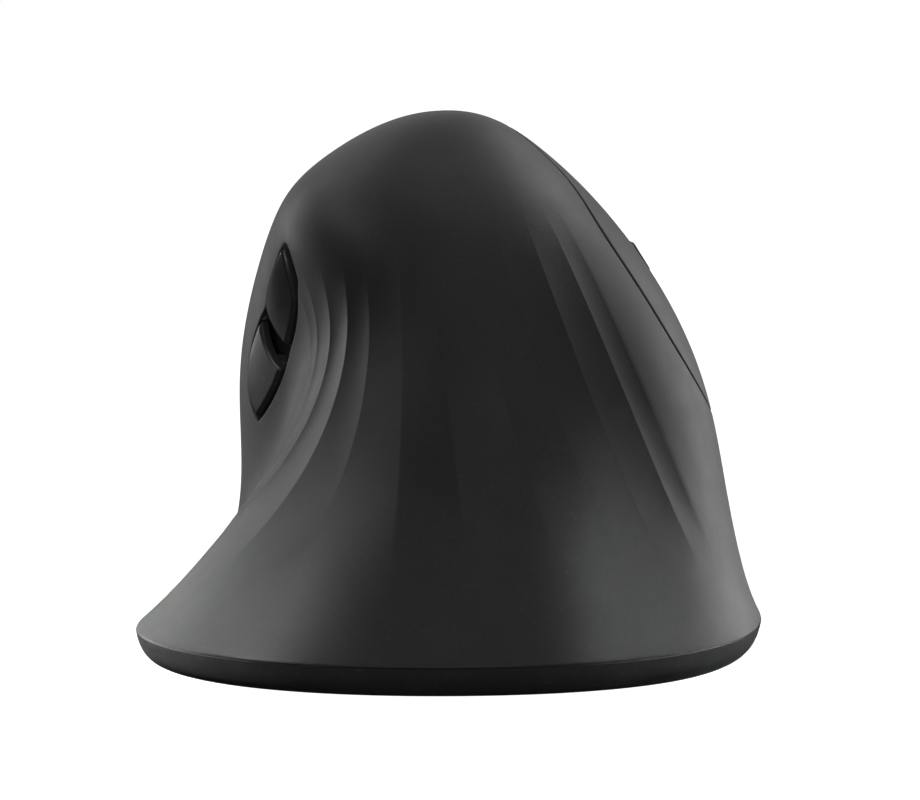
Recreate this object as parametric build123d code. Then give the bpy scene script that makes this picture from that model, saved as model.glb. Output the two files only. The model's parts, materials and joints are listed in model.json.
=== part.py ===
from build123d import *
from math import cos, radians, sin
import os

# Driving dimensions: lengths in millimetres, angles in degrees
# Body form: +X is the finger side, +Y is forward, Z = 0 is the desk
body_height = 69.2
body_reach = 50.0
body_axis_x = 0.5
body_axis_y = -3.0
seam_height = 4.4
wall = 2.0
least_ring = 1.2
overrun = 3.0
seat_gap = 0.3
running_gap = 0.05
# The move that puts the middle of the whole mouse over the origin
centre_shift_x = -0.58
centre_shift_y = 0.46

# Heights of the form's control rings, as shares of the body above its seam
level_shares = (0, 0.040, 0.133, 0.272, 0.426, 0.580, 0.727, 0.850, 0.943, 1, 1)
# Radii of the control rings, as shares of body_reach, every 30 degrees from +X towards +Y
reach_shares = (
    (0.772, 0.800, 1.020, 1.250, 1.040, 0.710, 0.690, 0.924, 1.096, 1.072, 1.064, 0.872),
    (0.746, 0.776, 1.000, 1.240, 1.010, 0.670, 0.610, 0.864, 1.050, 1.036, 1.036, 0.840),
    (0.714, 0.740, 0.960, 1.210, 0.980, 0.606, 0.460, 0.732, 0.948, 0.960, 0.968, 0.804),
    (0.684, 0.706, 0.916, 1.160, 0.956, 0.616, 0.376, 0.546, 0.770, 0.870, 0.884, 0.766),
    (0.656, 0.670, 0.850, 1.090, 0.930, 0.652, 0.384, 0.400, 0.610, 0.780, 0.800, 0.724),
    (0.584, 0.600, 0.760, 0.970, 0.860, 0.624, 0.416, 0.372, 0.510, 0.670, 0.696, 0.640),
    (0.468, 0.472, 0.596, 0.790, 0.710, 0.556, 0.460, 0.486, 0.524, 0.540, 0.560, 0.516),
    (0.336, 0.340, 0.416, 0.600, 0.540, 0.444, 0.416, 0.450, 0.432, 0.400, 0.400, 0.368),
    (0.200, 0.202, 0.250, 0.400, 0.352, 0.264, 0.252, 0.264, 0.260, 0.244, 0.240, 0.216),
    (0.090, 0.090, 0.110, 0.170, 0.160, 0.124, 0.106, 0.106, 0.106, 0.100, 0.100, 0.090),
    (0,) * 12,
)
# Heights of the cross-sections that the skin is drawn through, as shares above the seam
section_shares = (
    0, 0.040, 0.086, 0.148, 0.210, 0.280, 0.350, 0.426, 0.503, 0.580,
    0.657, 0.735, 0.804, 0.866, 0.917, 0.957, 0.983, 0.9955, 0.9995,
)
smooth_points = 36
inner_points = 24

# Grip flutes on the palm: bearings of the ridges, low, halfway and high
flute_depth_shares = (0.080, 0.090, 0.090, 0.085, 0.050, 0.022, 0.018, 0.030, 0.045, 0.050, 0.050)
ridge_bearings_low = (206, 213, 221, 234.7, 247.3, 261, 272, 285, 295, 302.7, 311, 317)
ridge_bearings_mid = (215.5, 222.8, 232.8, 241.5, 250.3, 259.7, 269, 279.8, 288.7, 297, 305, 310.5)
ridge_bearings_high = (205, 217, 229, 239, 247, 257, 265.5, 276, 285, 294.4, 302.6, 308.3)
ridge_height_shares = (0.241, 0.488, 0.673)
ridge_span_shares = (0.164, 0.735)
flute_start_shares = (0.130, 0.320)
flute_end_shares = (0.680, 0.860)
flute_fade_share = 0.170
flute_points = 6

# Base tray
glide_thickness = 0.9
glide_recess = 0.3
floor = 2.0
seam_gap = 0.2
tray_roll = 2.4
tray_profile_shares = ((0, 1), (0.2, 0.54), (0.55, 0.2), (1, 0))
lip_height = 1.8
lip_gap = 0.35
lip_wall = 1.1

# Finger panel: a frame tilted about +Y, where s runs down the slope and d outwards
finger_tilt = 32
panel_level = 45.3
panel_reach = 60.0
panel_start = 12.0
split_line = -27.86
panel_gap = 0.35
key_end_gap = 1.1
key_rear = -4.0
flange_wall = 1.2
flange_width = 2.5
# Panel outline, as shares of body_reach: forward, then down the slope from the split line
panel_shares = (
    (-0.064, -0.486), (-0.190, -0.326), (-0.326, -0.154), (-0.386, 0.032), (-0.384, 0.190),
    (-0.284, 0.354), (-0.100, 0.416), (0.160, 0.425), (0.440, 0.410), (0.720, 0.366),
    (0.930, 0.292), (1.010, 0.190), (0.950, 0.076), (0.830, -0.010), (0.680, -0.128),
    (0.520, -0.264), (0.340, -0.374), (0.140, -0.450),
)

# Scroll wheel
wheel_radius = 10.5
wheel_width = 5.0
wheel_proud = 2.77
wheel_forward = 12.0
wheel_slot_gap = 0.6
wheel_slot_length = 22.4
wheel_slot_shift = 0.6
tyre_wall = 2.2
tyre_ribs = 36
tyre_rib_depth = 0.45
tyre_rib_width = 0.7
hub_web = 1.6
hub_boss_radius = 3.0
hub_windows = 6
hub_window_radius = 1.5
hub_window_circle = 5.6
axle_radius = 1.0

# Wheel cradle, encoder and click switch
cradle_arm = 1.4
cradle_gap = 0.9
cradle_pivot_forward = -3.0
cradle_pivot_level = 31.0
cradle_pin_radius = 0.8
cradle_front = 28.5
cradle_foot = 4.0
cradle_bar = 2.0
cradle_ear_gap = 0.4
cradle_ear = 1.6
cradle_ear_half = 2.2
encoder_thickness = 2.9
encoder_size = 10.0
encoder_gap = 0.1

# Finger circuit board and its bracket
board_thickness = 1.6
finger_board_level = 24.4
finger_board_rear = 0.5
finger_board_front = 30.5
finger_screw_forward = 14.5
finger_board_up = 11.5
finger_board_down = 13.5
bracket_plate = 1.8
bracket_standoff = 1.0
bracket_standoff_radius = 2.2
bracket_rear = -8.0
bracket_margin = 1.6
bracket_leg = 2.0
bracket_foot_near = 6.4
bracket_foot_far = 15.0
bracket_boss_radius = 2.8
bracket_boss_height = 9.0
bracket_screw_x = 10.6

# Snap switches and small push switches
snap_length = 12.8
snap_width = 5.8
snap_height = 6.5
snap_forward = 23.5
snap_aside = 8.3
tact_size = 6.0
tact_height = 4.3
thumb_tact_height = 3.5
base_tact_height = 2.6
plunger_radius = 1.1
plunger_proud = 0.7
plunger_depth = 1.6
plunger_play = 0.6
post_gap = 0.06
post_radius = 1.6

# Key hinge
hinge_forward = -2.0
hinge_drop = 4.8
hinge_pin_radius = 0.75
ear_thickness = 1.6
ear_half = 1.5
ear_gap = 0.4
lug_reach = 7.0
key_ear_places = (-16.0, -6.0, 6.0, 15.0)
key_lug_sides = (1, -1, 1, -1)
hinge_pin_up = 18.0
hinge_pin_down = 17.0

# Thumb buttons
thumb_proud = 0.4
thumb_depth = 1.4
thumb_plate_width = 4.4
thumb_wall_near = -8.0
thumb_wall_far = -45.0
thumb_board_x = -10.0
thumb_board_rear = -14.0
thumb_board_front = 16.0
thumb_board_low = 30.0
thumb_board_high = 53.5
thumb_guide_radius = 1.1
thumb_boss_radius = 2.0
# Thumb outlines in shares of body_reach and body_height: corners, with a control point between each two
thumb_opening_shares = (
    (-0.252, 0.758), (-0.300, 0.732), (-0.286, 0.689), (-0.172, 0.606), (-0.106, 0.549), (-0.020, 0.440),
    (0.094, 0.400), (0.243, 0.474), (0.056, 0.600), (0.033, 0.613), (0.010, 0.626), (0.004, 0.683),
)
thumb_back_shares = (
    (-0.234, 0.744), (-0.240, 0.694), (-0.217, 0.645), (-0.145, 0.605),
    (-0.098, 0.556), (-0.032, 0.578), (-0.001, 0.618), (0.000, 0.680),
)
thumb_forward_shares = (
    (0.048, 0.592), (0.020, 0.532), (-0.057, 0.510), (-0.024, 0.463), (0.088, 0.408), (0.230, 0.476),
)
thumb_plate_shares = (
    (-0.244, 0.764), (-0.300, 0.728), (-0.284, 0.668), (-0.196, 0.614), (-0.112, 0.550),
    (-0.056, 0.486), (0.030, 0.414), (0.120, 0.404), (0.172, 0.452), (0.176, 0.520),
    (0.110, 0.590), (0.010, 0.662), (-0.110, 0.732),
)
thumb_back_switch_shares = (-0.130, 0.632)
thumb_back_guide_shares = (-0.165, 0.700)
thumb_forward_switch_shares = (0.020, 0.510)
thumb_forward_guide_shares = (0.088, 0.470)
thumb_boss_shares = ((-0.020, 0.730), (-0.190, 0.534))

# Screws and posts
screw_radius = 0.9
screw_head_radius = 1.7
screw_head_height = 1.3
screw_length = 9.0
screw_recess = 1.5
screw_recess_radius = 2.1
post_boss_radius = 3.0
post_height = 10.0
post_places = ((-25.0, -36.0), (28.0, -35.0), (-23.0, 30.0), (26.0, 30.0))

# Battery and its bay
cell_radius = 7.1
cell_length = 49.3
cell_nub_radius = 2.75
cell_nub = 1.2
cell_x = -4.0
cell_side_gap = 0.4
cell_end_gap = 2.0
bay_rear = -45.5
bay_wall = 1.2
bay_height = 11.4
door_thickness = 1.4
door_lap = 1.0
door_gap = 0.25
door_cell_gap = 0.4
door_pin_radius = 0.5
door_pin_length = 1.2
door_latch = 8.0
contact_thickness = 0.4
contact_width = 9.0
contact_height = 10.0
contact_bulge = 1.3

# Main circuit board, sensor and lens
main_board_left = -18.5
main_board_right = 4.0
main_board_rear = 12.5
main_board_front = 41.0
main_board_level = 7.2
main_post_radius = 2.2
main_post_inset = 2.4
sensor_x = -7.5
sensor_y = 22.0
sensor_width = 10.0
sensor_length = 8.4
sensor_height = 3.0
lens_width = 12.0
lens_length = 11.0
lens_plate = 1.2
lens_tower_radius = 2.2
aperture_width = 7.0
aperture_length = 5.0
led_radius = 1.5
led_length = 5.0
led_forward = 31.2
chip_size = 5.0
chip_height = 0.9
radio_size = 4.0
chip_x = -15.7
chip_y = 22.5
radio_y = 29.0
can_radius = 2.0
can_height = 5.2
can_places = ((1.2, 29.2), (1.2, 33.8))
plug_height = 2.4
finger_plug_width = 8.0
finger_plug_y = 21.2
thumb_plug_x = -10.8
thumb_plug_y = 14.4
plug_depth = 3.2
ribbon_thickness = 0.3
ribbon_bend = 2.0
ribbon_gap = 0.05

# Power switch and pairing button in the base
slider_x = -13.0
slider_y = 33.5
slider_travel = 2.0
slider_width = 3.4
slider_depth = 3.0
slider_plate = 0.8
slider_stem = 1.5
slider_sink = 0.2
slider_body_width = 8.6
slider_body_depth = 4.2
pair_x = -3.5
pair_y = 34.0
pair_radius = 1.9
pair_flange = 0.7
pair_flange_thickness = 0.4
pair_sink = 0.3
pair_gap = 0.15

# Wireless receiver and its pocket
receiver_x = 20.0
receiver_y = -22.0
receiver_cap_width = 14.4
receiver_cap_depth = 6.4
receiver_cap_height = 6.2
receiver_plug_width = 12.0
receiver_plug_depth = 4.5
receiver_plug_height = 12.3
receiver_plug_wall = 0.4
receiver_sink = 0.3
receiver_gap = 0.3
pocket_wall = 1.1
nail_radius = 3.2

# Glides on the underside: centre x, centre y, length along x, length along y
glide_places = {
    "front_glide": (0.0, 46.2, 26.0, 5.6),
    "rear_glide": (14.5, -42.6, 17.0, 4.4),
    "thumb_side_glide": (-30.5, -19.0, 5.0, 22.0),
    "finger_side_glide": (33.0, -8.0, 5.0, 24.0),
}

# Levels and places that follow from the sizes above
tray_bottom = glide_thickness - glide_recess
floor_top = tray_bottom + floor
tray_top = seam_height - seam_gap
rise = body_height - seam_height
wheel_level = panel_level + wheel_proud - wheel_radius
finger_board_top = finger_board_level + board_thickness
snap_top = finger_board_top + snap_height
post_level = snap_top + plunger_proud + post_gap
hinge_level = panel_level - hinge_drop
cell_z = tray_bottom + door_thickness + door_cell_gap + cell_radius
bay_left = cell_x - cell_radius - cell_side_gap
bay_right = cell_x + cell_radius + cell_side_gap
bay_front = bay_rear + cell_length + cell_nub + 2 * cell_end_gap
main_board_top = main_board_level + board_thickness
finger_normal = (cos(radians(finger_tilt)), 0, sin(radians(finger_tilt)))
finger_slope = (sin(radians(finger_tilt)), 0, -cos(radians(finger_tilt)))
finger_frame = Plane(origin=(0, 0, 0), x_dir=finger_slope, z_dir=finger_normal)


def block(x0, x1, y0, y1, z0, z1):
    """A box from its lowest to its highest corner."""
    centre = Pos((x0 + x1) / 2, (y0 + y1) / 2, (z0 + z1) / 2)
    return centre * Box(x1 - x0, y1 - y0, z1 - z0)


def rod(x, y, z0, z1, radius):
    """An upright cylinder between two levels."""
    return Pos(x, y, (z0 + z1) / 2) * Cylinder(radius, z1 - z0)


def slope_rod(s0, s1, y, d, radius):
    """A cylinder along the slope, in the finger frame's own axes."""
    return Pos((s0 + s1) / 2, y, d) * Rot(0, 90, 0) * Cylinder(radius, s1 - s0)


def side_rod(x0, x1, y, z, radius):
    """A cylinder along X."""
    return Pos((x0 + x1) / 2, y, z) * Rot(0, 90, 0) * Cylinder(radius, x1 - x0)


def on_finger(shape):
    """Place a shape drawn in the finger frame."""
    return finger_frame.location * shape


def group(solids):
    """Several separate solids in one node."""
    return Compound(children=list(solids))


def ease(share):
    """A smooth step from 0 to 1."""
    held = min(max(share, 0), 1)
    return held * held * (3 - 2 * held)


def cubic_weights(t):
    """Weights of the four control values around a place on a uniform cubic curve."""
    return (
        (1 - t) ** 3 / 6,
        (3 * t ** 3 - 6 * t ** 2 + 4) / 6,
        (-3 * t ** 3 + 3 * t ** 2 + 3 * t + 1) / 6,
        t ** 3 / 6,
    )


def ring_weights(v):
    """Weights of the control rings at a place v, from 0 at the seam to 1 at the crown."""
    inner = len(level_shares) - 3
    knots = [0.0] * 4 + [k / inner for k in range(1, inner)] + [1.0] * 4
    weights = [float(a <= v < b) for a, b in zip(knots[:-1], knots[1:])]
    for degree in range(1, 4):
        raised = []
        for i in range(len(weights) - 1):
            before = knots[i + degree] - knots[i]
            after = knots[i + degree + 1] - knots[i + 1]
            value = (v - knots[i]) / before * weights[i] if before else 0.0
            value += (knots[i + degree + 1] - v) / after * weights[i + 1] if after else 0.0
            raised.append(value)
        weights = raised
    return weights


def column_radii(share):
    """The control radii of the form at a height, which is a share above the seam."""
    low, high = 0.0, 1.0 - 1e-9
    for _ in range(50):
        middle = (low + high) / 2
        height = sum(w * s for w, s in zip(ring_weights(middle), level_shares))
        if height < share:
            low = middle
        else:
            high = middle
    weights = ring_weights(low)
    return [
        body_reach * sum(w * ring[column] for w, ring in zip(weights, reach_shares))
        for column in range(12)
    ]


def reach_at(bearing, columns):
    """The radius of the form at a bearing."""
    place = bearing / 30
    first = int(place // 1)
    return sum(w * columns[(first - 1 + i) % 12] for i, w in enumerate(cubic_weights(place - first)))


def ridge_bearings(share):
    """The bearings of the flutes' ridges at a height, on a parabola through three heights."""
    low, mid, high = ridge_height_shares
    place = min(max(share, ridge_span_shares[0]), ridge_span_shares[1])
    a = (place - mid) * (place - high) / ((low - mid) * (low - high))
    b = (place - low) * (place - high) / ((mid - low) * (mid - high))
    c = (place - low) * (place - mid) / ((high - low) * (high - mid))
    rows = zip(ridge_bearings_low, ridge_bearings_mid, ridge_bearings_high)
    return [a * first + b * second + c * third for first, second, third in rows]


def flute_strength(share, across_body):
    """The strength of a flute at a height, faded out below and above; flutes end higher on the finger side."""
    begin, full = flute_start_shares
    first, last = flute_end_shares
    end = first + (last - first) * across_body
    return ease((share - begin) / (full - begin)) * ease((end - share) / flute_fade_share)


def skin_point(bearing, columns, offset, height):
    """A point on the form, moved outwards by offset."""
    radius = reach_at(bearing, columns) + offset
    x = body_axis_x + radius * cos(radians(bearing))
    y = body_axis_y + radius * sin(radians(bearing))
    return Vector(x, y, height)


def smooth_section(share, offset, height, count=inner_points):
    """A closed section of the form without its flutes."""
    columns = column_radii(share)
    bearings = [360 * k / count for k in range(count)]
    points = [skin_point(bearing, columns, offset, height) for bearing in bearings]
    return Wire([Edge.make_spline(points, periodic=True)])


def fluted_section(share, height):
    """A closed section with one edge for each flute, so that the ridges stay sharp."""
    columns = column_radii(share)
    ridges = ridge_bearings(share)
    steps = [k / flute_points for k in range(flute_points + 1)]
    edges = []
    for place, (start, end) in enumerate(zip(ridges[:-1], ridges[1:])):
        width = reach_at((start + end) / 2, columns) * radians(end - start)
        points = []
        for t in steps:
            strength = flute_strength(share, (place + t) / (len(ridges) - 1))
            inset = 4 * flute_depth_shares[place] * width * strength * t * (1 - t)
            points.append(skin_point(start + (end - start) * t, columns, -inset, height))
        edges.append(Edge.make_spline(points))
    start, end = ridges[-1], ridges[0] + 360
    count = int(smooth_points * (end - start) / 360)
    plain = [start + (end - start) * k / count for k in range(count + 1)]
    edges.append(Edge.make_spline([skin_point(b, columns, 0, height) for b in plain]))
    return Wire(edges)


def section_places(offset, shares):
    """The shares and heights of the sections of a skin that is moved by offset."""
    places = []
    for share in shares:
        if min(column_radii(share)) + offset > least_ring:
            drop = offset * ease((share - 0.55) / 0.4)
            places.append((share, seam_height + rise * share + drop))
    return places


def body_skin(offset):
    """The solid inside the form, without flutes, moved outwards by offset."""
    places = section_places(offset, section_shares[::2])
    return Solid.make_loft([smooth_section(share, offset, height) for share, height in places])


def plain_skin():
    """The solid inside the form, without flutes, as finely drawn as the fluted one."""
    places = section_places(0, section_shares)
    return Solid.make_loft([smooth_section(share, 0, height, smooth_points) for share, height in places])


def fluted_skin():
    """The solid inside the form, with its flutes."""
    places = section_places(0, section_shares)
    return Solid.make_loft([fluted_section(share, height) for share, height in places])


def seam_disc(offset, low, high):
    """An upright disc with the outline of the body at its seam, moved by offset."""
    return extrude(Face(smooth_section(0, offset, low)), amount=high - low)


def cavity(offset):
    """The hollow of the body, open below."""
    return body_skin(offset) + seam_disc(offset, seam_height - overrun, seam_height)


def low_skin(offset, level):
    """The form from the seam up to a low level, moved outwards by offset."""
    share = (level - seam_height) / rise
    return Solid.make_loft([smooth_section(0, offset, seam_height), smooth_section(share, offset, level)])


def outline(points, margin):
    """A smooth closed outline through points that are moved outwards by margin."""
    moved = []
    for before, point, after in zip(points[-1:] + points[:-1], points, points[1:] + points[:1]):
        along = (after - before).normalized()
        moved.append(point + Vector(along.Y, -along.X) * margin)
    return Face(Wire([Edge.make_spline(moved, periodic=True)]))


def corner_outline(points):
    """A closed outline of curved sides between corners."""
    count = len(points)
    sides = [
        Edge.make_bezier(points[k], points[k + 1], points[(k + 2) % count])
        for k in range(0, count, 2)
    ]
    return Face(Wire(sides))


def panel_prism(margin, start=panel_start):
    """The finger panel's outline, widened by margin and drawn through the skin from a level."""
    points = [Vector(split_line + s * body_reach, y * body_reach) for y, s in panel_shares]
    face = outline(points, margin)
    return on_finger(Pos(0, 0, start) * extrude(face, amount=panel_reach - start, dir=(0, 0, 1)))


def side_prism(face):
    """An outline on the thumb side, drawn through the skin along X."""
    prism = extrude(face, amount=thumb_wall_near - thumb_wall_far, dir=(0, 0, 1))
    return Plane.YZ.offset(thumb_wall_far).location * prism


def thumb_prism(shares):
    """The prism of a cornered outline on the thumb side."""
    return side_prism(corner_outline([Vector(*thumb_place(place)) for place in shares]))


def thumb_place(shares):
    """A place on the thumb side, from its shares."""
    return shares[0] * body_reach, shares[1] * body_height


def finger_slab(s0, s1, y0, y1, d0, d1):
    """A box in the finger frame, with s counted from the split line."""
    return on_finger(block(split_line + s0, split_line + s1, y0, y1, d0, d1))


def palm_shell(forms):
    """The fluted shell under the palm, with the thumb side, and its screw posts."""
    low = tray_top + lip_height + lip_gap
    posts = [rod(x, y, low, low + post_height, post_boss_radius) for x, y in post_places]
    holes = [rod(x, y, low - overrun, low + post_height - wall, screw_radius + running_gap) for x, y in post_places]
    hollow = forms["hollow"] - posts
    openings = [panel_prism(panel_gap, panel_start - key_end_gap), thumb_prism(thumb_opening_shares)]
    return fluted_skin() - [hollow, *openings, *holes]


def base_tray(forms):
    """The dark tray under the shell, with its lip, battery bay, pocket and bosses."""
    height = tray_top - tray_bottom
    rings = [
        smooth_section(0, -tray_roll * roll, tray_bottom + height * level)
        for level, roll in tray_profile_shares
    ]
    lip_top = tray_top + lip_height
    lip = low_skin(-wall - lip_gap, lip_top)
    inside = -wall - lip_gap - lip_wall
    hollow = low_skin(inside, lip_top + overrun) + seam_disc(inside, floor_top, seam_height)
    tray = Solid.make_loft(rings) + [lip, seam_disc(-wall - lip_gap, tray_top - floor, seam_height)]
    raised = [rod(x, y, tray_bottom + floor / 2, lip_top, post_boss_radius) for x, y in post_places]
    tall = [battery_bay(), receiver_pocket()]
    tall += [rod(x, y, tray_bottom + floor / 2, main_board_level, main_post_radius) for x, y in main_post_places()]
    cuts = [battery_opening(), receiver_hollow(), sensor_aperture(), slider_window()]
    cuts.append(rod(pair_x, pair_y, 0, floor_top + overrun, pair_radius + pair_gap))
    cuts += [screw_hole(x, y) for x, y in post_places]
    cuts += [screw_hole(bracket_screw_x, y) for y in bracket_leg_places()]
    for x, y in main_post_places():
        cuts.append(rod(x, y, floor_top, main_board_level + overrun, screw_radius + running_gap))
    for place in glide_places.values():
        cuts.append(glide(place, seat_gap / 2, 0, tray_bottom + glide_recess))
    return (tray - (hollow - raised) + tall) - cuts


def screw_hole(x, y):
    """The clearance hole and head recess for a screw driven from below."""
    head = rod(x, y, 0, tray_bottom + screw_recess, screw_recess_radius)
    return head + rod(x, y, 0, seam_height * 4, screw_radius + 2 * running_gap)


def bracket_leg_places():
    """Where the finger bracket's two feet stand, along Y."""
    return (bracket_rear + bracket_boss_radius, finger_board_front - bracket_boss_radius)


def main_post_places():
    """The corners of the main board that stand on posts."""
    left, right = main_board_left + main_post_inset, main_board_right - main_post_inset
    rear, front = main_board_rear + main_post_inset, main_board_front - main_post_inset
    return ((left, rear), (right, rear), (left, front), (right, front))


def battery_bay():
    """The walls round the cell."""
    outer = block(
        bay_left - bay_wall, bay_right + bay_wall, bay_rear - bay_wall, bay_front + bay_wall,
        tray_bottom + floor / 2, tray_bottom + bay_height,
    )
    inner = block(bay_left, bay_right, bay_rear, bay_front, 0, tray_bottom + bay_height + overrun)
    return outer - inner


def battery_opening():
    """The opening under the cell, with the recess and pin sockets for its door."""
    opening = block(bay_left, bay_right, bay_rear, bay_front, 0, floor_top + overrun)
    recess = block(
        bay_left - door_lap, bay_right + door_lap, bay_rear - door_lap, bay_front + door_lap,
        0, tray_bottom + door_thickness + door_gap / 2,
    )
    sockets = door_pins(running_gap)
    return opening + recess + sockets


def door_pins(gap):
    """The two stub pins that the battery door turns on, widened by gap."""
    y = bay_front + door_lap - door_gap - door_thickness / 2
    z = tray_bottom + door_thickness / 2
    half = (bay_right - bay_left) / 2 + door_lap - door_gap
    ends = half + door_pin_length + gap
    return side_rod(cell_x - ends, cell_x + ends, y, z, door_pin_radius + gap)


def battery_door():
    """The door under the cell: a plate with a round nose, stub pins and a finger latch."""
    nose_y = bay_front + door_lap - door_gap - door_thickness / 2
    nose_z = tray_bottom + door_thickness / 2
    left, right = bay_left - door_lap + door_gap, bay_right + door_lap - door_gap
    rear = bay_rear - door_lap + door_gap
    door = block(left, right, rear, nose_y, tray_bottom, tray_bottom + door_thickness)
    door += side_rod(left, right, nose_y, nose_z, door_thickness / 2)
    door += door_pins(0)
    notch = rod(cell_x, rear, 0, tray_bottom + door_thickness / 2, door_latch / 2)
    door -= notch
    for step in range(1, 4):
        line = rear + door_latch / 2 + step * door_latch / 8
        half = door_latch / 2
        door -= block(cell_x - half, cell_x + half, line, line + door_gap, 0, tray_bottom + door_gap)
    return door


def battery_cell():
    """A cylindrical cell lying along Y, with its positive nub forward."""
    rear = bay_rear + cell_end_gap
    cell = Pos(cell_x, rear + cell_length / 2, cell_z) * Rot(90, 0, 0) * Cylinder(cell_radius, cell_length)
    cell = fillet(cell.edges().filter_by(GeomType.CIRCLE), cell_end_gap / 4)
    nub = Pos(cell_x, rear + cell_length + cell_nub / 2, cell_z) * Rot(90, 0, 0)
    return cell + nub * Cylinder(cell_nub_radius, cell_nub)


def contact(face_y, side):
    """A leaf contact on an end wall: side is +1 when it presses forward."""
    low = tray_bottom + floor + contact_bulge
    seat = face_y + side * running_gap
    plate = block(
        cell_x - contact_width / 2, cell_x + contact_width / 2,
        min(seat, seat + side * contact_thickness), max(seat, seat + side * contact_thickness),
        low, low + contact_height,
    )
    bow = Pos(cell_x, seat + side * contact_thickness / 2, cell_z) * Rot(0, 90, 0)
    ring = Cylinder(contact_bulge + contact_thickness, contact_width / 2)
    ring -= Cylinder(contact_bulge, contact_width)
    ahead = block(
        cell_x - contact_width, cell_x + contact_width,
        min(seat, seat + side * overrun), max(seat, seat + side * overrun),
        low, low + contact_height,
    )
    return plate + ((bow * ring) & ahead)


def receiver_pocket():
    """The upright pocket that stores the receiver."""
    half_x = receiver_cap_width / 2 + receiver_gap + pocket_wall
    half_y = receiver_cap_depth / 2 + receiver_gap + pocket_wall
    top = tray_bottom + receiver_sink + receiver_cap_height + receiver_plug_height + receiver_gap
    return block(
        receiver_x - half_x, receiver_x + half_x, receiver_y - half_y, receiver_y + half_y,
        tray_bottom + floor / 2, top + pocket_wall,
    )


def receiver_hollow():
    """The space for the receiver, with a notch for a fingernail."""
    cap_top = tray_bottom + receiver_sink + receiver_cap_height + receiver_gap
    plug_top = cap_top + receiver_plug_height
    half_x, half_y = receiver_cap_width / 2 + receiver_gap, receiver_cap_depth / 2 + receiver_gap
    cap = block(
        receiver_x - half_x, receiver_x + half_x, receiver_y - half_y, receiver_y + half_y, 0, cap_top,
    )
    half_x, half_y = receiver_plug_width / 2 + receiver_gap, receiver_plug_depth / 2 + receiver_gap
    plug = block(
        receiver_x - half_x, receiver_x + half_x, receiver_y - half_y, receiver_y + half_y, 0, plug_top,
    )
    nail = rod(receiver_x, receiver_y - receiver_cap_depth / 2, 0, tray_bottom + floor / 2, nail_radius)
    return cap + plug + nail


def receiver_cap():
    """The plastic end of the receiver, with a rounded edge."""
    low = tray_bottom + receiver_sink
    cap = block(
        receiver_x - receiver_cap_width / 2, receiver_x + receiver_cap_width / 2,
        receiver_y - receiver_cap_depth / 2, receiver_y + receiver_cap_depth / 2,
        low, low + receiver_cap_height,
    )
    return fillet(cap.edges().filter_by(Axis.Z), receiver_cap_depth / 5)


def receiver_plug():
    """The metal plug of the receiver, with its insulator and windows."""
    low = tray_bottom + receiver_sink + receiver_cap_height
    half_x, half_y = receiver_plug_width / 2, receiver_plug_depth / 2
    high = low + receiver_plug_height
    plug = block(
        receiver_x - half_x, receiver_x + half_x, receiver_y - half_y, receiver_y + half_y, low, high,
    )
    inset_x, inset_y = half_x - receiver_plug_wall, half_y - receiver_plug_wall
    plug -= block(
        receiver_x - inset_x, receiver_x + inset_x, receiver_y, receiver_y + inset_y,
        low + receiver_plug_wall, high + overrun,
    )
    for side in (-1, 1):
        x = receiver_x + side * half_x / 2
        window = receiver_plug_wall * 2.5
        plug -= block(
            x - window, x + window, receiver_y + inset_y - running_gap, receiver_y + half_y * 2,
            high - receiver_plug_height / 2 - window, high - receiver_plug_height / 2 + window,
        )
    return plug


def sensor_aperture():
    """The window in the floor under the lens."""
    half_x, half_y = aperture_width / 2, aperture_length / 2
    return block(
        sensor_x - half_x, sensor_x + half_x, sensor_y - half_y, sensor_y + half_y, 0, floor_top + overrun,
    )


def slider_window():
    """The recess and slot for the power slider."""
    half_x = (slider_width + slider_travel) / 2 + seat_gap
    half_y = slider_depth / 2 + seat_gap
    centre = slider_x + slider_travel / 2
    recess = block(
        centre - half_x, centre + half_x, slider_y - half_y, slider_y + half_y,
        0, tray_bottom + slider_sink + slider_plate + pair_gap,
    )
    half_x = (slider_stem + slider_travel) / 2 + pair_gap
    half_y = slider_stem / 2 + pair_gap
    slot = block(centre - half_x, centre + half_x, slider_y - half_y, slider_y + half_y, 0, floor_top + overrun)
    return recess + slot


def power_slider():
    """The slider's grooved plate and the stem that drives the switch."""
    low = tray_bottom + slider_sink
    plate = block(
        slider_x - slider_width / 2, slider_x + slider_width / 2,
        slider_y - slider_depth / 2, slider_y + slider_depth / 2, low, low + slider_plate,
    )
    for step in (-1, 0, 1):
        x = slider_x + step * slider_width / 4
        groove = slider_sink
        plate -= block(x - groove, x + groove, slider_y - slider_depth, slider_y + slider_depth, 0, low + groove)
    half = slider_stem / 2
    stem = block(
        slider_x - half, slider_x + half, slider_y - half, slider_y + half,
        low + slider_plate / 2, power_switch_low() - running_gap,
    )
    return plate + stem


def power_switch_low():
    """The underside of the power switch, just above the tray's floor."""
    return floor_top + seat_gap


def power_switch():
    """The slide switch under the main board."""
    centre = slider_x + slider_travel / 2
    return block(
        centre - slider_body_width / 2, centre + slider_body_width / 2,
        slider_y - slider_body_depth / 2, slider_y + slider_body_depth / 2,
        power_switch_low(), main_board_level,
    )


def pairing_button():
    """The round pairing button in the floor, held by its flange."""
    top = main_board_level - base_tact_height - plunger_proud - running_gap
    low = tray_bottom + pair_sink
    rest = floor_top + running_gap
    flange = rod(pair_x, pair_y, rest, rest + pair_flange_thickness, pair_radius + pair_flange)
    return rod(pair_x, pair_y, low, top, pair_radius) + flange


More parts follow.
